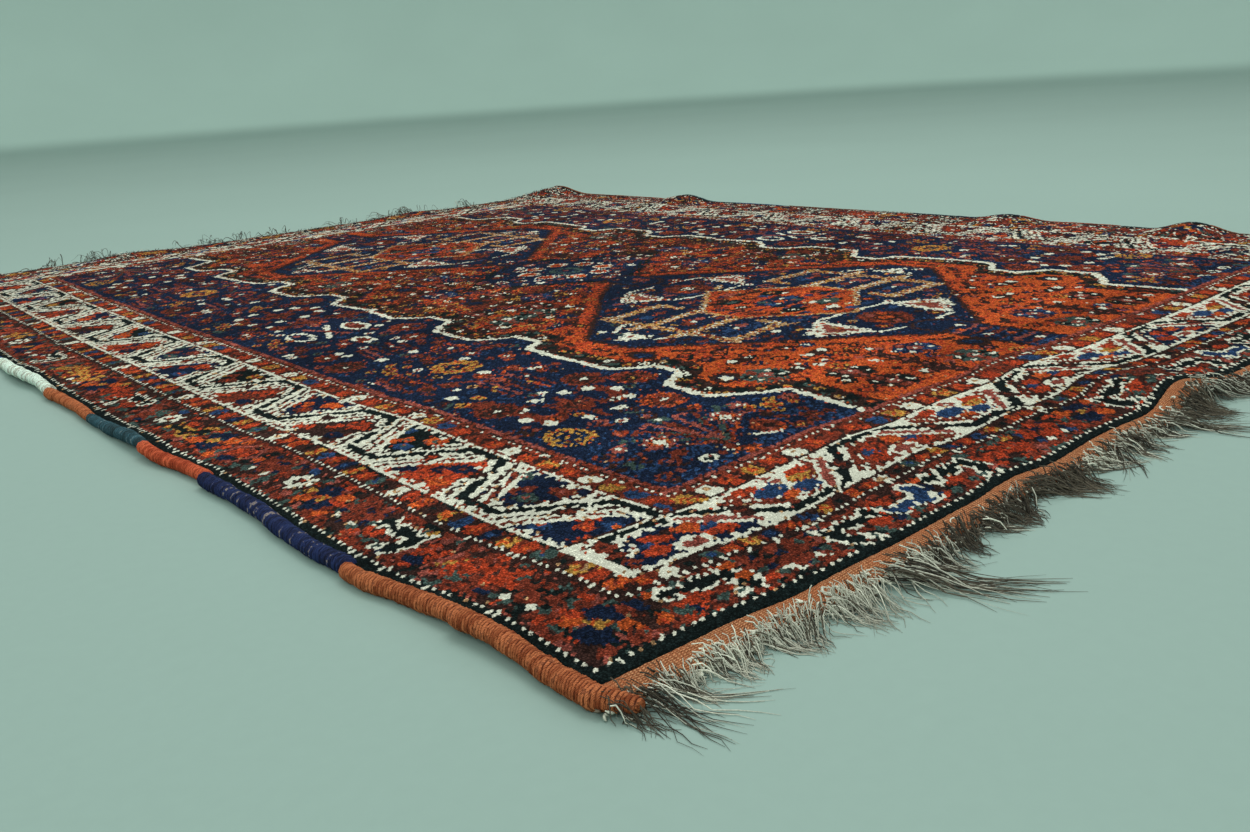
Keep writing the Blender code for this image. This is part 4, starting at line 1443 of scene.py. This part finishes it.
def pile_finish(look):
    """Cut wool pile: ragged knots of dyed wool, each knot and tuft with painted light and shade, painted shade
    in the gaps between tufts, and bands of uneven dye.
    """
    wool = Finish("pile_wool", 1.0, specular=0.04)
    place = wool.place()
    palette = [getattr(look, name) for name in DYE_NAMES]
    sums = [None, None, None, None]
    for group in range(4):
        ragged = wool.noise(place + (0.37 * group, 0.11 * group, 0.0), look.fibre_scale, 2.0, "Color")
        share = wool.attribute(f"dye_{group}") * (ragged * 3.4 - 0.9).vector("MAXIMUM", (0.03, 0.03, 0.03))
        squared = share * share
        fourth = squared * squared
        weight = fourth * squared
        colours = palette[group * 3:group * 3 + 3]
        rows = [[colour[axis] for colour in colours] for axis in range(3)] + [[1.0, 1.0, 1.0]]
        for axis, row in enumerate(rows):
            part = weight.dot(tuple(row))
            sums[axis] = part if sums[axis] is None else sums[axis] + part
    dyed = wool.rgb(sums[0] / sums[3], sums[1] / sums[3], sums[2] / sums[3])
    tone = wool.attribute("tone")
    knot, bands = tone.part(0), tone.part(1)
    tuft = wool.cells(place, look.tuft_scale)
    tuft_tone = wool.cells(place, look.tuft_scale, "Color").part(0)
    fibre = wool.noise(place, look.fibre_scale * 2.4, 1.0)
    # Painted shade: the colour falls to 0.4 in the gaps between tufts, where shade would fall; the same
    # pattern gives the tufts' relief.
    gap = 1.0 - tuft.ramp(0.34, 0.66) * 0.60
    # Painted light and shade of the tufts: each knot and tuft is made brighter or darker at random, partly its
    # own tone; the bands are uneven dye. Pale dyes get less of it.
    light = (knot * 0.70 + 0.64) * (tuft_tone * 0.80 + 0.62) * (fibre * 1.2 + 0.40)
    light = light * gap * (bands * 0.5 + 0.76)
    calm = dyed.dot((0.33, 0.33, 0.33)).ramp(0.25, 0.65) * 0.55
    light = light * (1.0 - calm) + calm * 1.02
    return wool.paint(dyed * light, gap + fibre * 0.5 + knot * 0.2, 0.0012, 0.8)


def ground_finish():
    """The back of the rug: rows of knot backs between dark wefts."""
    back = Finish("ground_weave", 1.0, specular=0.05)
    place = back.place()
    warps, ribs = ((place.part(axis) * RIB_WAVES).math("SINE") * 0.5 + 0.5 for axis in (0, 1))
    speck = back.noise(place, 240.0, 3.0)
    colour = back.rgb(0.13, 0.055, 0.04).mixed((0.055, 0.04, 0.05, 1.0), speck.ramp(0.42, 0.62))
    return back.paint(colour * (ribs * 0.5 + 0.6), ribs + warps * 0.5, 0.0006)


def kilim_finish(look):
    """Weft-faced plain weave in orange-brown wool, with painted shade in the hollows between the weft's beads
    and pale flecks, partly a painted highlight on the beads' tops.
    """
    band = Finish("kilim_wool", 1.0, specular=0.05)
    place = band.place()
    wander = band.noise(place, 110.0, 3.0)
    row = (place.part(1) + wander * 0.0030) * (math.pi / 0.0016)
    column = (place.part(0) + wander * 0.0026) * (math.pi / 0.0026)
    bead = (row.math("SINE") * column.math("SINE")).math("ABSOLUTE")
    fleck = band.noise(place, 620.0, 3.0)
    patch = band.noise(place, 34.0, 3.0)
    base = band.rgb(*look.kilim)
    # Painted shade: darker in the hollows between the weft's beads.
    colour = base.mixed(base * (0.42, 0.34, 0.32), (1.0 - bead).ramp(0.35, 0.95) * 0.7)
    # Pale flecks of wool; their pull towards the beads' tops is a painted highlight.
    colour = colour.mixed(base * (1.1, 1.45, 1.6), (bead * 0.4 + fleck).ramp(0.62, 0.86) * 0.9)
    colour = colour.mixed(base * (0.9, 0.7, 0.6), patch.ramp(0.45, 0.7) * 0.5)
    return band.paint(colour * (fleck * 1.1 + 0.5), bead + fleck * 1.1, 0.0014, 1.0)


def wrap_finish(side, wool_name, colour, fleck_colour, fleck_share):
    """Wool wound round a selvedge: its own tone at each turn with a painted highlight on its ridge, fine plies
    with painted light and shade, and painted shade in the creases; the right side's wools are darker copies
    painted as shade.
    """
    wrap = Finish(f"wrapped_{wool_name}_{side}", 0.85, specular=0.12)
    place = wrap.place()
    shade = wrap.attribute("shade")
    turn, groove, winding = shade.part(0), shade.part(1), shade.part(2)
    fibre = wrap.noise(place, 1150.0, 2.0)
    coarse = wrap.noise(place, 190.0, 2.0)
    ply = ((winding + fibre * 0.22) * (2 * math.pi * 3)).math("SINE") * 0.5 + 0.5
    # Painted shade: the right side's wools are copies at 0.42 of their colour, for the shade that side lies
    # in.
    base = wrap.rgb(*(part * (1.0 if side == "left" else 0.42) for part in colour))
    # Painted highlight: each turn runs from a darker tone up to about twice its colour towards its ridge,
    # mixed with its own random tone.
    tone = (base * (0.74, 0.66, 0.62)).mixed(base * (1.6, 1.9, 2.0),
                                             (turn * 0.7 + coarse * 0.8 - groove * 0.4).ramp(0.25, 0.95))
    # Painted shade: the creases between turns darken nearly to black.
    tone = tone.mixed(base * (0.18, 0.13, 0.13), groove.ramp(0.25, 0.80) * 0.95)
    strand = turn.ramp(0.80, 0.82) * coarse.ramp(0.46, 0.56)
    tone = tone.mixed((*fleck_colour, 1.0), strand * (fibre * 0.8 + 0.3) * fleck_share)
    # Painted light and shade across the plies, on top of the fibres' random tone.
    return wrap.paint(tone * (fibre * 1.0 + 0.5) * (ply * 0.4 + 0.8), ply * 0.6 + fibre * 0.9 - groove,
                      0.0007, 0.9)


def yarn_finish(name):
    """Undyed goat hair and wool, coloured yarn by yarn."""
    yarn = Finish(name, 0.85, specular=0.12)
    place = yarn.place()
    fibre = yarn.noise(place, 700.0, 2.0)
    colour = yarn.attribute("yarn", "Color")
    return yarn.paint(colour * (fibre * 1.1 + 0.45), fibre, 0.0004, 0.5)


def floor_finish(look):
    """A painted floor, pale grey-green, faintly clouded, that pales where it turns up into the wall."""
    floor = Finish("painted_floor", 0.6, specular=0.3)
    place = floor.place()
    cloud = floor.noise(place, 1.1, 3.0)
    fine = floor.noise(place, 90.0, 3.0)
    base = floor.rgb(*look.floor).mixed((*look.wall, 1.0), place.part(2).ramp(0.0, 0.10))
    colour = base * (cloud * 0.10 + 0.95) * (fine * 0.05 + 0.975)
    return floor.paint(colour, fine, 0.0002, 0.3)


# Stage

def build_floor(look):
    """A round floor that sweeps up into a plain wall all round, with no corner between them."""
    bend = np.linspace(0, math.pi / 2, 13)
    radius = np.concatenate([[0.01, 1.5, 3.5], FLOOR_RADIUS + COVE_RADIUS * np.sin(bend),
                             [FLOOR_RADIUS + COVE_RADIUS]])
    height = np.concatenate([[0.0, 0.0, 0.0], COVE_RADIUS * (1 - np.cos(bend)), [WALL_HEIGHT]])
    turn = 2 * math.pi * np.arange(FLOOR_SIDES + 1) / FLOOR_SIDES
    x = radius[:, None] * np.cos(turn)
    y = radius[:, None] * np.sin(turn)
    points = np.stack([x, y, np.broadcast_to(height[:, None], x.shape)], -1)
    faces = grid_faces(len(radius), FLOOR_SIDES + 1)[:, ::-1]
    return new_piece("floor", points.reshape(-1, 3), faces, floor_finish(look))


# Pieces

def knot_places(count, length):
    """Metres from a side at each row of knots and at the rim's points, with their out and drop."""
    rim_out = [out for out, drop in RIM_PROFILE]
    rim_drop = [drop for out, drop in RIM_PROFILE]
    inner = (np.arange(count) + 0.5) * length / count
    places = np.concatenate([np.zeros(len(rim_out)), inner, np.full(len(rim_out), length)])
    out = np.concatenate([-np.array(rim_out[::-1]), np.zeros(count), np.array(rim_out)])
    from_rim = np.minimum(inner, length - inner)
    drop = 0.0008 * np.exp(-from_rim / 0.0022)
    drop = np.concatenate([rim_drop[::-1], drop, rim_drop])
    return places, out, drop


def build_pile(look, chart):
    """The pile in four bands from the near end to the far end, one point to each knot."""
    chance = np.random.default_rng(look.seed + 1)
    rows, columns = chart.shape
    along, along_out, along_drop = knot_places(rows, PILE_LENGTH)
    across, across_out, across_drop = knot_places(columns, PILE_WIDTH)
    rim = len(RIM_PROFILE)
    dyes = np.pad(chart, rim, mode="edge")
    across_grid, along_grid = np.meshgrid(across, along)
    x, y = place_on_rug(across_grid, along_grid)
    shape = x.shape
    x = x + across_out[None, :] + chance.uniform(-0.10, 0.10, shape) * KNOT
    y = y + along_out[:, None] + chance.uniform(-0.10, 0.10, shape) * KNOT
    waves = smooth_noise(chance, shape[0], 14)[:, None] * 0.25
    waves = waves + smooth_noise(chance, shape[1], 11)[None, :] * 0.25
    tuft = chance.normal(0, 1, shape) * 0.00016 + waves * 0.0004
    dark = np.isin(dyes, dye_numbers("kd"))
    tuft = tuft - dark * 0.0004
    drop = np.maximum(along_drop[:, None], across_drop[None, :])
    z = lift(across_grid, along_grid) + PILE_THICKNESS - drop + tuft
    z = np.maximum(z, 0.0004)
    bands = smooth_noise(chance, shape[0], 26) * 0.5 + smooth_noise(chance, shape[0], 7) * 0.25 + 0.5
    # tone: each knot's random brightness, partly its own tone and partly painted light and shade of its tuft,
    # then the bands of uneven dye along the rug.
    tone = np.stack([chance.random(shape), np.broadcast_to(bands[:, None], shape), np.zeros(shape)], -1)
    points = np.stack([x, y, z], -1)
    finish = pile_finish(look)
    pieces = []
    edges = np.linspace(0, shape[0] - 1, PILE_BANDS + 1).astype(int)
    for number, (first, last) in enumerate(zip(edges, edges[1:]), 1):
        part = slice(first, last + 1)
        attributes = [("tone", "FLOAT_VECTOR", tone[part].reshape(-1, 3))]
        for group in range(4):
            own = np.stack([dyes[part] == group * 3 + k for k in range(3)], -1).astype(np.float32)
            attributes.append((f"dye_{group}", "FLOAT_VECTOR", own.reshape(-1, 3)))
        faces = grid_faces(last + 1 - first, shape[1])
        piece = new_piece(f"pile_band_{number}", points[part].reshape(-1, 3), faces, finish, attributes)
        pieces.append(dress(piece, "pile", "pile_body"))
    return pieces


def build_ground():
    """The woven ground under the pile, a thin closed cloth on the solid's folds."""
    rows, columns = GROUND_GRID
    across = np.linspace(0.001, PILE_WIDTH - 0.001, columns)
    along = np.linspace(0.001, PILE_LENGTH - 0.001, rows)
    across_grid, along_grid = np.meshgrid(across, along)
    x, y = place_on_rug(across_grid, along_grid)
    under = lift(across_grid, along_grid)
    low, high = (np.stack([x, y, under + height], -1).reshape(-1, 3) for height in GROUND_FACES)
    top = grid_faces(rows, columns) + rows * columns
    bottom = grid_faces(rows, columns)[:, ::-1]
    index = np.arange(rows * columns).reshape(rows, columns)
    rim = np.concatenate([index[0, :-1], index[:-1, -1], index[-1, :0:-1], index[:0:-1, 0]])
    following = np.roll(rim, -1)
    wall = np.stack([rim, following, following + rows * columns, rim + rows * columns], -1)
    faces = np.concatenate([bottom, top, wall])
    piece = new_piece("ground_cloth", np.concatenate([low, high]), faces, ground_finish())
    return dress(piece, "pile", "pile_body")


def build_kilim(look, end, finish):
    """The flat-woven band at one end, from under the pile's rim out and down to the floor."""
    chance = np.random.default_rng(look.seed + (2 if end == "near" else 3))
    count = KILIM_COLUMNS
    across = np.linspace(-0.001, PILE_WIDTH + 0.001, count)
    fray = smooth_noise(chance, count, 5) * 0.0007 + smooth_noise(chance, count, 40) * 0.0008
    rows = []
    for out, height in KILIM_PROFILE:
        share = out / KILIM_WIDTH
        x, y, under = end_point(end, across, out + fray * share)
        z = under + height + smooth_noise(chance, count, 9) * 0.00022 * (height > 0.001)
        rows.append(np.stack([x, y, np.maximum(z, 0.0002)], -1))
    if end == "near":
        rows = rows[::-1]
    points = np.stack(rows)
    piece = new_piece("kilim_" + end, points.reshape(-1, 3), grid_faces(len(KILIM_PROFILE), count), finish)
    return dress(piece, "kilim", "kilim_end_" + end)


def selvedge_line(side, along, radius):
    """Centre points of the overcast cord beside the pile."""
    within = np.clip(along, 0, PILE_LENGTH)
    across = np.full(within.shape, 0.0 if side == "left" else PILE_WIDTH)
    x, y = place_on_rug(across, within)
    outwards = -1.0 if side == "left" else 1.0
    x = x - outwards * np.clip(-TAIL_BEND_START - along, 0, 1) * TAIL_BEND
    return np.stack([x + outwards * (radius - SELVEDGE_TUCK), y + along - within,
                     lift(across, within) + radius], -1)


def build_wrap(look, side, number, wool, start, stop, diameter, finish):
    """One section of a selvedge: wool wound turn by turn round the edge warps."""
    chance = np.random.default_rng(look.seed + 100 + number + (50 if side == "right" else 0))
    pitch = look.wrap_pitch
    rings, sides, fullness = WINDING[side]
    count = int((stop - start - SEAM) / pitch * rings) + 1
    along = np.linspace(start + SEAM / 2, stop - SEAM / 2, count)
    turns = int((stop - start) / pitch) + 4
    radius = diameter / 2 * fullness
    fat = 1 + smooth_noise(chance, count, 80) * 0.09 + smooth_noise(chance, count, 15) * 0.055
    nose = np.minimum(along + KILIM_WIDTH + CORD_TAIL, PILE_LENGTH + KILIM_WIDTH - along) / NOSE_LENGTH
    fat *= 0.42 + 0.58 * np.clip(nose, 0, 1) ** 0.5
    ends = np.minimum(along - along[0], along[-1] - along) / BIND_LENGTH
    fat *= 0.84 + 0.16 * np.clip(ends, 0, 1) ** 0.5
    centre = selvedge_line(side, along, np.full(count, radius))
    centre[:, 0] += smooth_noise(chance, count, 85) * 0.0024
    angle = 2 * math.pi * (np.arange(sides) + 0.5) / sides
    lean = 1.3 if side == "left" else -1.3
    phase = ((along[:, None] - start) / pitch + np.cos(angle)[None, :] * lean
             + np.sin(angle)[None, :] * 0.3 + 2)
    for size, share in ((16, 0.35), (5, 0.25)):
        phase = phase + smooth_noise(chance, count, size)[:, None] * share
    ridge = np.abs(np.sin(math.pi * phase)) ** 0.7
    turn = np.clip(phase.astype(int), 0, turns - 1)
    swell = chance.uniform(-0.05, 0.06, turns)[turn]
    reach = radius * fat[:, None] * (0.86 + 0.17 * ridge + swell)
    squash = np.where(np.sin(angle) < 0, 0.96, 1.0)[None, :]
    x = centre[:, 0:1] + reach * np.cos(angle)[None, :]
    z = centre[:, 2:3] + reach * np.sin(angle)[None, :] * squash
    y = np.broadcast_to(centre[:, 1:2], x.shape)
    points = np.stack([x, y, np.maximum(z, 0.0002)], -1).reshape(-1, 3)
    index = np.arange(count * sides).reshape(count, sides)
    following = np.roll(index, -1, axis=1)
    faces = np.stack([index[:-1], following[:-1], following[1:], index[1:]], -1).reshape(-1, 4)[:, ::-1]
    caps = []
    for ring, flip in ((index[0], False), (index[-1], True)):
        for k in range(1, sides - 2, 2):
            quad = [ring[0], ring[k], ring[k + 1], ring[k + 2]]
            caps.append(quad[::-1] if flip else quad)
    faces = np.concatenate([faces, np.array(caps)])
    # shade holds each turn's random tone, how deep each point lies in a crease (darkened by the finish as
    # painted shade, and used as relief), and the winding.
    shade = np.stack([chance.random(turns)[turn], 1 - ridge, phase], -1).reshape(-1, 3)
    name = f"wrap_{side}_{number:02d}_{wool}"
    piece = new_piece(name, points, faces, finish, [("shade", "FLOAT_VECTOR", shade)])
    return dress(piece, wool, f"selvedge_{side}_{number:02d}_{wool}")


def build_selvedge(look, side, finishes):
    pieces = []
    place = -KILIM_WIDTH
    sections = SECTIONS[side]
    for number, (wool, length, diameter) in enumerate(sections, 1):
        stop = PILE_LENGTH + KILIM_WIDTH if number == len(sections) else place + length
        start = place - (CORD_TAIL if number == 1 and side == "left" else 0)
        pieces.append(build_wrap(look, side, number, wool, start, stop, diameter, finishes[wool]))
        place = stop
    return pieces


def yarn_colours(chance, count, pale, look):
    """A colour for each yarn: undyed pale wool, brown, or nearly black hair."""
    pale_wool, brown, hair = (np.array(colour)
                              for colour in (look.warp_pale, look.warp_brown, look.warp_dark))
    pick = chance.random(count)
    is_pale = pick < pale
    mix = chance.random((count, 1))
    dark = brown * mix + hair * (1 - mix)
    return np.where(is_pale[:, None], pale_wool * (0.72 + 0.4 * mix) + brown * 0.12, dark)


def yarn_piece(name, finish, points, faces, colour, end):
    """A piece of the fringe's yarns with its colours."""
    points[:, 2] = np.maximum(points[:, 2], ABOVE_FLOOR)
    colour = np.concatenate([colour, np.ones((len(colour), 1))], 1)
    piece = new_piece(name, points, faces, yarn_finish(finish), [("yarn", "FLOAT_COLOR", colour)])
    return dress(piece, "warp", "warp_fringe_" + end)


def build_fringe(look, end):
    """Locks of warp ends: strands that leave the row of knots side by side and gather to loose tips."""
    chance = np.random.default_rng(look.seed + (11 if end == "near" else 13))
    near = end == "near"
    outwards = -1.0 if near else 1.0
    low, high = -STRIP_OVERHANG, PILE_WIDTH + STRIP_OVERHANG
    locks = np.sort(chance.uniform(low, high, look.locks))
    number = look.locks * (look.strands if near else look.strands // 4)
    across = chance.uniform(low, high, number)
    own = np.clip(np.searchsorted((locks[1:] + locks[:-1]) / 2, across), 0, len(locks) - 1)
    short = chance.random(number) < SHORT_SHARE
    stray = chance.random(number) < STRAY_SHARE
    swing = np.radians(eased(LOCKS[end], locks) + chance.normal(0, 14, len(locks)))
    reach = eased(LOCKS[end], locks, 2) * chance.uniform(0.50, 1.04, len(locks))
    curve = chance.normal(0, 0.26, len(locks))
    for place, turn, far_out in LONG_LOCKS[end]:
        lock = np.argmin(np.abs(locks - place))
        locks[lock], swing[lock], reach[lock], curve[lock] = place, math.radians(turn), far_out, 0.12
    beside = across - locks[own]
    out = KILIM_WIDTH + STRIP_WIDTH * (0.9 - 2.1 * chance.beta(1.0, 1.5, number))
    root_x, root_y, under = end_point(end, across, out)
    length = (reach[own] + STRIP_WIDTH * 0.4) * chance.beta(4.0, 1.3, number)
    length = length * np.where(short, SHORT_LENGTH, 1.0)
    heading = swing[own] + chance.normal(0, 0.13, number) + (stray | short) * chance.normal(0, 0.50, number)
    tight = np.where(reach[own] > LONG_REACH, 0.96, 0.74)
    gather = -beside * tight * np.clip(length / reach[own], 0, 1) * ~short
    share = np.linspace(0, 1, len(STRAND_TAPER))[None, :]
    wave = chance.uniform(0.0004, 0.0032, (number, 1)) * (1 + stray[:, None] * 0.5 + short[:, None] * 0.2)
    turns = chance.uniform(0.8, 2.6, (number, 1))
    phase = share * turns * 2 * math.pi + chance.uniform(0, 6.3, (number, 1))
    sideways = np.sin(heading)[:, None] * length[:, None] * share + gather[:, None] * share ** 0.8
    sideways = sideways + np.sin(phase) * wave * share ** 0.5
    bend = (curve[own][:, None] + chance.normal(0, 0.12, (number, 1))) * length[:, None] * share * share
    x = root_x[:, None] + sideways + bend
    y = root_y[:, None] + outwards * np.cos(heading)[:, None] * length[:, None] * share
    layer = chance.beta(1.5, 2.0, (number, 1)) * (0.0115 if near else 0.0060)
    curl = (chance.random((number, 1)) < 0.02) * chance.uniform(0.003, 0.010, (number, 1))
    if not near:
        nearest = np.min(np.abs(across[:, None] - np.array(TUFTS)[None, :]), 1)
        stands = np.exp(-nearest / 0.016) > chance.random(number) * 1.2
        curl = curl + stands[:, None] * chance.uniform(0.010, 0.036, (number, 1))
    rise = layer * np.sin(np.clip(share * 1.5 + 0.25, 0, 1) * math.pi) ** 0.8
    rise = rise + curl * np.sin(share * math.pi * 0.75) ** 2
    top = np.interp(out, *zip(*KILIM_PROFILE))
    z = (under[:, None] + top[:, None] + layer * 0.3) * (1 - share) ** 1.4
    z = z + rise * (1 - share * 0.55) + 0.0004
    thick = np.where(stray, STRAY_RADIUS, STRAND_RADIUS) * chance.uniform(0.7, 1.4, number)
    if not near:
        thick = np.where(stands, thick * 1.7, thick)
    radii = thick[:, None] * np.array(STRAND_TAPER)[None, :]
    points, faces, yarn, along = tubes(np.stack([x, y, z], -1), radii, 3)
    pale = eased(PALE_SHARE[end], across) * (0.86 + short * 0.4)
    pale = np.clip(pale + chance.normal(0, 0.14, len(locks))[own], 0, 1)
    if not near:
        pale = np.where(stands, 0.05, pale)
    colour = yarn_colours(chance, number, pale, look) * chance.uniform(0.72, 1.18, len(locks))[own][:, None]
    colour = colour[yarn]
    fade = (0.74 * np.clip(along * 1.6 - 0.40, 0, 1) * (0.2 + 0.8 * pale[yarn]))[:, None]
    colour = colour * (1 - fade) + np.array(look.warp_brown)[None, :] * fade
    return yarn_piece("fringe_" + end, "fringe_wool_" + end, points, faces, colour, end)


def build_warp_knots(look, end):
    """The row of looped and twisted warp ends that locks the weave."""
    chance = np.random.default_rng(look.seed + (17 if end == "near" else 19))
    count = look.locks * (14 if end == "near" else 4)
    across = np.linspace(-STRIP_OVERHANG, PILE_WIDTH + STRIP_OVERHANG, count)
    across = across + chance.uniform(-0.003, 0.003, count)
    stations = 6
    turn = chance.uniform(0, 2 * math.pi, (count, 1))
    sweep = np.linspace(0, 1, stations)[None, :] * chance.uniform(2.4, 4.4, (count, 1))
    sweep = sweep * chance.choice([-1, 1], (count, 1))
    size = chance.uniform(0.0013, 0.0034, (count, 1))
    out = KILIM_WIDTH + STRIP_WIDTH * (1.0 - (2.4 if end == "near" else 1.7) * chance.beta(1.0, 1.7, count))
    top = np.interp(out, *zip(*KILIM_PROFILE))
    x, y, under = end_point(end, across, out)
    path_x = x[:, None] + np.cos(turn + sweep) * size
    path_y = y[:, None] + np.sin(turn + sweep) * size * 1.3
    path_z = (under + top)[:, None] + chance.uniform(0, 0.0028, (count, 1)) + np.sin(sweep * 1.5) * 0.0010
    paths = np.stack([path_x, path_y, path_z], -1)
    radii = np.full((count, stations), LOOP_RADIUS) * chance.uniform(0.7, 1.3, (count, 1))
    radii[:, [0, -1]] *= 0.4
    points, faces, yarn = tubes(paths, radii, 4)[:3]
    pale = np.clip(eased(PALE_SHARE[end], across) * 0.5 + 0.50, 0, 0.95)
    colour = yarn_colours(chance, count, pale, look)[yarn]
    return yarn_piece("warp_knots_" + end, "knotted_warp_" + end, points, faces, colour, end)


def dress(piece, slot, *nodes):
    """Says what a piece rides on and which solid it stands for. Its slot is not used."""
    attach(piece, "root")
    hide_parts(*nodes)
    return piece


# Add-on

def colour_property(name, description, default):
    return FloatVectorProperty(name=name, description=description, default=default, size=3,
                               min=0.0, max=1.0, subtype="COLOR")


class RUG_PG_look(bpy.types.PropertyGroup):
    """Sizes and colours of the rug."""

    wrap_pitch: FloatProperty(name="Wrap", description="Pitch of the selvedge's turns", default=0.0024,
                              unit="LENGTH")
    locks: IntProperty(name="Locks", description="Locks in each fringe", default=54, min=10)
    strands: IntProperty(name="Strands", description="Strands to a lock", default=74, min=6)
    seed: IntProperty(name="Seed", description="Start of every random draw", default=7)
    tuft_scale: FloatProperty(name="Tufts", description="Tufts to a metre", default=560.0)
    fibre_scale: FloatProperty(name="Fibres", description="Fibres to a metre", default=520.0)
    madder: colour_property("Madder red", "Dye of the centre", (0.45, 0.054, 0.019))
    navy: colour_property("Navy", "Dye of the side panels", (0.008, 0.0165, 0.042))
    ivory: colour_property("Ivory", "Undyed pale wool", (0.65, 0.66, 0.54))
    black: colour_property("Black-green", "Dye of the guard and meander", (0.0065, 0.012, 0.012))
    brick: colour_property("Brick", "Dye of the outer border", (0.185, 0.034, 0.018))
    gold: colour_property("Gold", "Dye of small blossoms", (0.47, 0.245, 0.050))
    blue: colour_property("Blue", "Dye of small flowers", (0.022, 0.056, 0.140))
    brown: colour_property("Brown", "Dye of stems and rosettes", (0.038, 0.017, 0.014))
    teal: colour_property("Teal", "Dye of leaves", (0.050, 0.085, 0.075))
    orange: colour_property("Orange", "Dye of the medallion's band", (0.54, 0.096, 0.022))
    rose: colour_property("Rose", "Dye of the inner line", (0.30, 0.075, 0.055))
    tan: colour_property("Tan", "Dye of the hooked squares", (0.46, 0.27, 0.13))
    kilim: colour_property("Kilim", "Wool of the flat-woven ends", (0.50, 0.188, 0.084))
    warp_pale: colour_property("Pale warp", "Undyed pale warp", (0.62, 0.64, 0.53))
    warp_brown: colour_property("Brown warp", "Undyed brown warp", (0.120, 0.105, 0.076))
    warp_dark: colour_property("Dark warp", "Undyed dark warp", (0.026, 0.024, 0.020))
    floor: colour_property("Floor", "Paint of the floor", (0.234, 0.340, 0.303))
    wall: colour_property("Wall", "Paint of the wall", (0.395, 0.550, 0.493))


def look_of(context):
    return context.scene.rug_look


class RUG_OT_weave(bpy.types.Operator):
    """Knots the pile and weaves its ground"""

    bl_idname = "rug.weave"
    bl_label = "Weave the rug"

    def execute(self, context):
        look = look_of(context)
        rows, columns = round(PILE_LENGTH / KNOT), round(PILE_WIDTH / KNOT)
        chart = weave(rows, columns, np.random.default_rng(look.seed))
        build_pile(look, chart)
        build_ground()
        return {"FINISHED"}


class RUG_OT_ends(bpy.types.Operator):
    """Weaves the flat band at each end"""

    bl_idname = "rug.ends"
    bl_label = "Weave the ends"

    def execute(self, context):
        look = look_of(context)
        finish = kilim_finish(look)
        for end in ("near", "far"):
            build_kilim(look, end, finish)
        return {"FINISHED"}


class RUG_OT_selvedges(bpy.types.Operator):
    """Winds the overcast selvedges"""

    bl_idname = "rug.selvedges"
    bl_label = "Wind the selvedges"

    def execute(self, context):
        look = look_of(context)
        for side in ("left", "right"):
            finishes = {name: wrap_finish(side, name, *values) for name, values in WRAPS.items()}
            build_selvedge(look, side, finishes)
        return {"FINISHED"}


class RUG_OT_fringes(bpy.types.Operator):
    """Twists the rows of warp knots and spreads the fringes"""

    bl_idname = "rug.fringes"
    bl_label = "Spread the fringes"

    def execute(self, context):
        look = look_of(context)
        for end in ("near", "far"):
            build_warp_knots(look, end)
            build_fringe(look, end)
        return {"FINISHED"}


class RUG_OT_declare(bpy.types.Operator):
    bl_idname = "rug.declare"
    bl_label = "Declare the cloth"

    def execute(self, context):
        return {"FINISHED"}


class RUG_OT_stage(bpy.types.Operator):
    """Lays the floor and sets the camera and lights"""

    bl_idname = "rug.stage"
    bl_label = "Set the stage"

    def execute(self, context):
        look = look_of(context)
        build_floor(look)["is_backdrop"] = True
        camera_data = bpy.data.cameras.new("camera")
        camera_data.sensor_width = 36.0
        camera_data.lens = CAMERA_LENS
        camera_data.clip_end = 200.0
        camera = bpy.data.objects.new("camera", camera_data)
        camera.location = CAMERA_PLACE
        camera.rotation_euler = Euler([math.radians(a) for a in CAMERA_TURN], "XYZ")
        context.scene.collection.objects.link(camera)
        context.scene.camera = camera
        for name, place, size, power, colour in LIGHTS:
            light_data = bpy.data.lights.new(name, "AREA")
            light_data.shape = "DISK"
            light_data.size = size
            light_data.energy = power
            light_data.color = colour
            light = bpy.data.objects.new(name, light_data)
            light.location = place
            light.rotation_euler = (-Vector(place)).to_track_quat("-Z", "Y").to_euler()
            context.scene.collection.objects.link(light)
        world = bpy.data.worlds.new("studio")
        world.use_nodes = True
        backdrop = world.node_tree.nodes["Background"]
        backdrop.inputs["Color"].default_value = (*WORLD_COLOUR, 1.0)
        backdrop.inputs["Strength"].default_value = WORLD_STRENGTH
        context.scene.world = world
        context.scene.view_settings.view_transform = "Standard"
        return {"FINISHED"}


class RUG_PT_panel(bpy.types.Panel):
    """Lists the steps of making the rug."""

    bl_label = "Rug"
    bl_space_type = "VIEW_3D"
    bl_region_type = "UI"
    bl_category = "Rug"

    def draw(self, context):
        for operator in OPERATORS:
            self.layout.operator(operator.bl_idname)
        for name in RUG_PG_look.__annotations__:
            self.layout.prop(look_of(context), name)


OPERATORS = (RUG_OT_stage, RUG_OT_weave, RUG_OT_ends, RUG_OT_selvedges, RUG_OT_fringes, RUG_OT_declare)
CLASSES = (RUG_PG_look, *OPERATORS, RUG_PT_panel)


def register():
    for entry in CLASSES:
        bpy.utils.register_class(entry)
    bpy.types.Scene.rug_look = PointerProperty(type=RUG_PG_look)


def unregister():
    del bpy.types.Scene.rug_look
    for entry in reversed(CLASSES):
        bpy.utils.unregister_class(entry)


def main():
    register()
    bpy.ops.rug.stage()
    bpy.ops.rug.weave()
    bpy.ops.rug.ends()
    bpy.ops.rug.selvedges()
    bpy.ops.rug.fringes()
    bpy.ops.rug.declare()


if __name__ == "__main__":
    main()
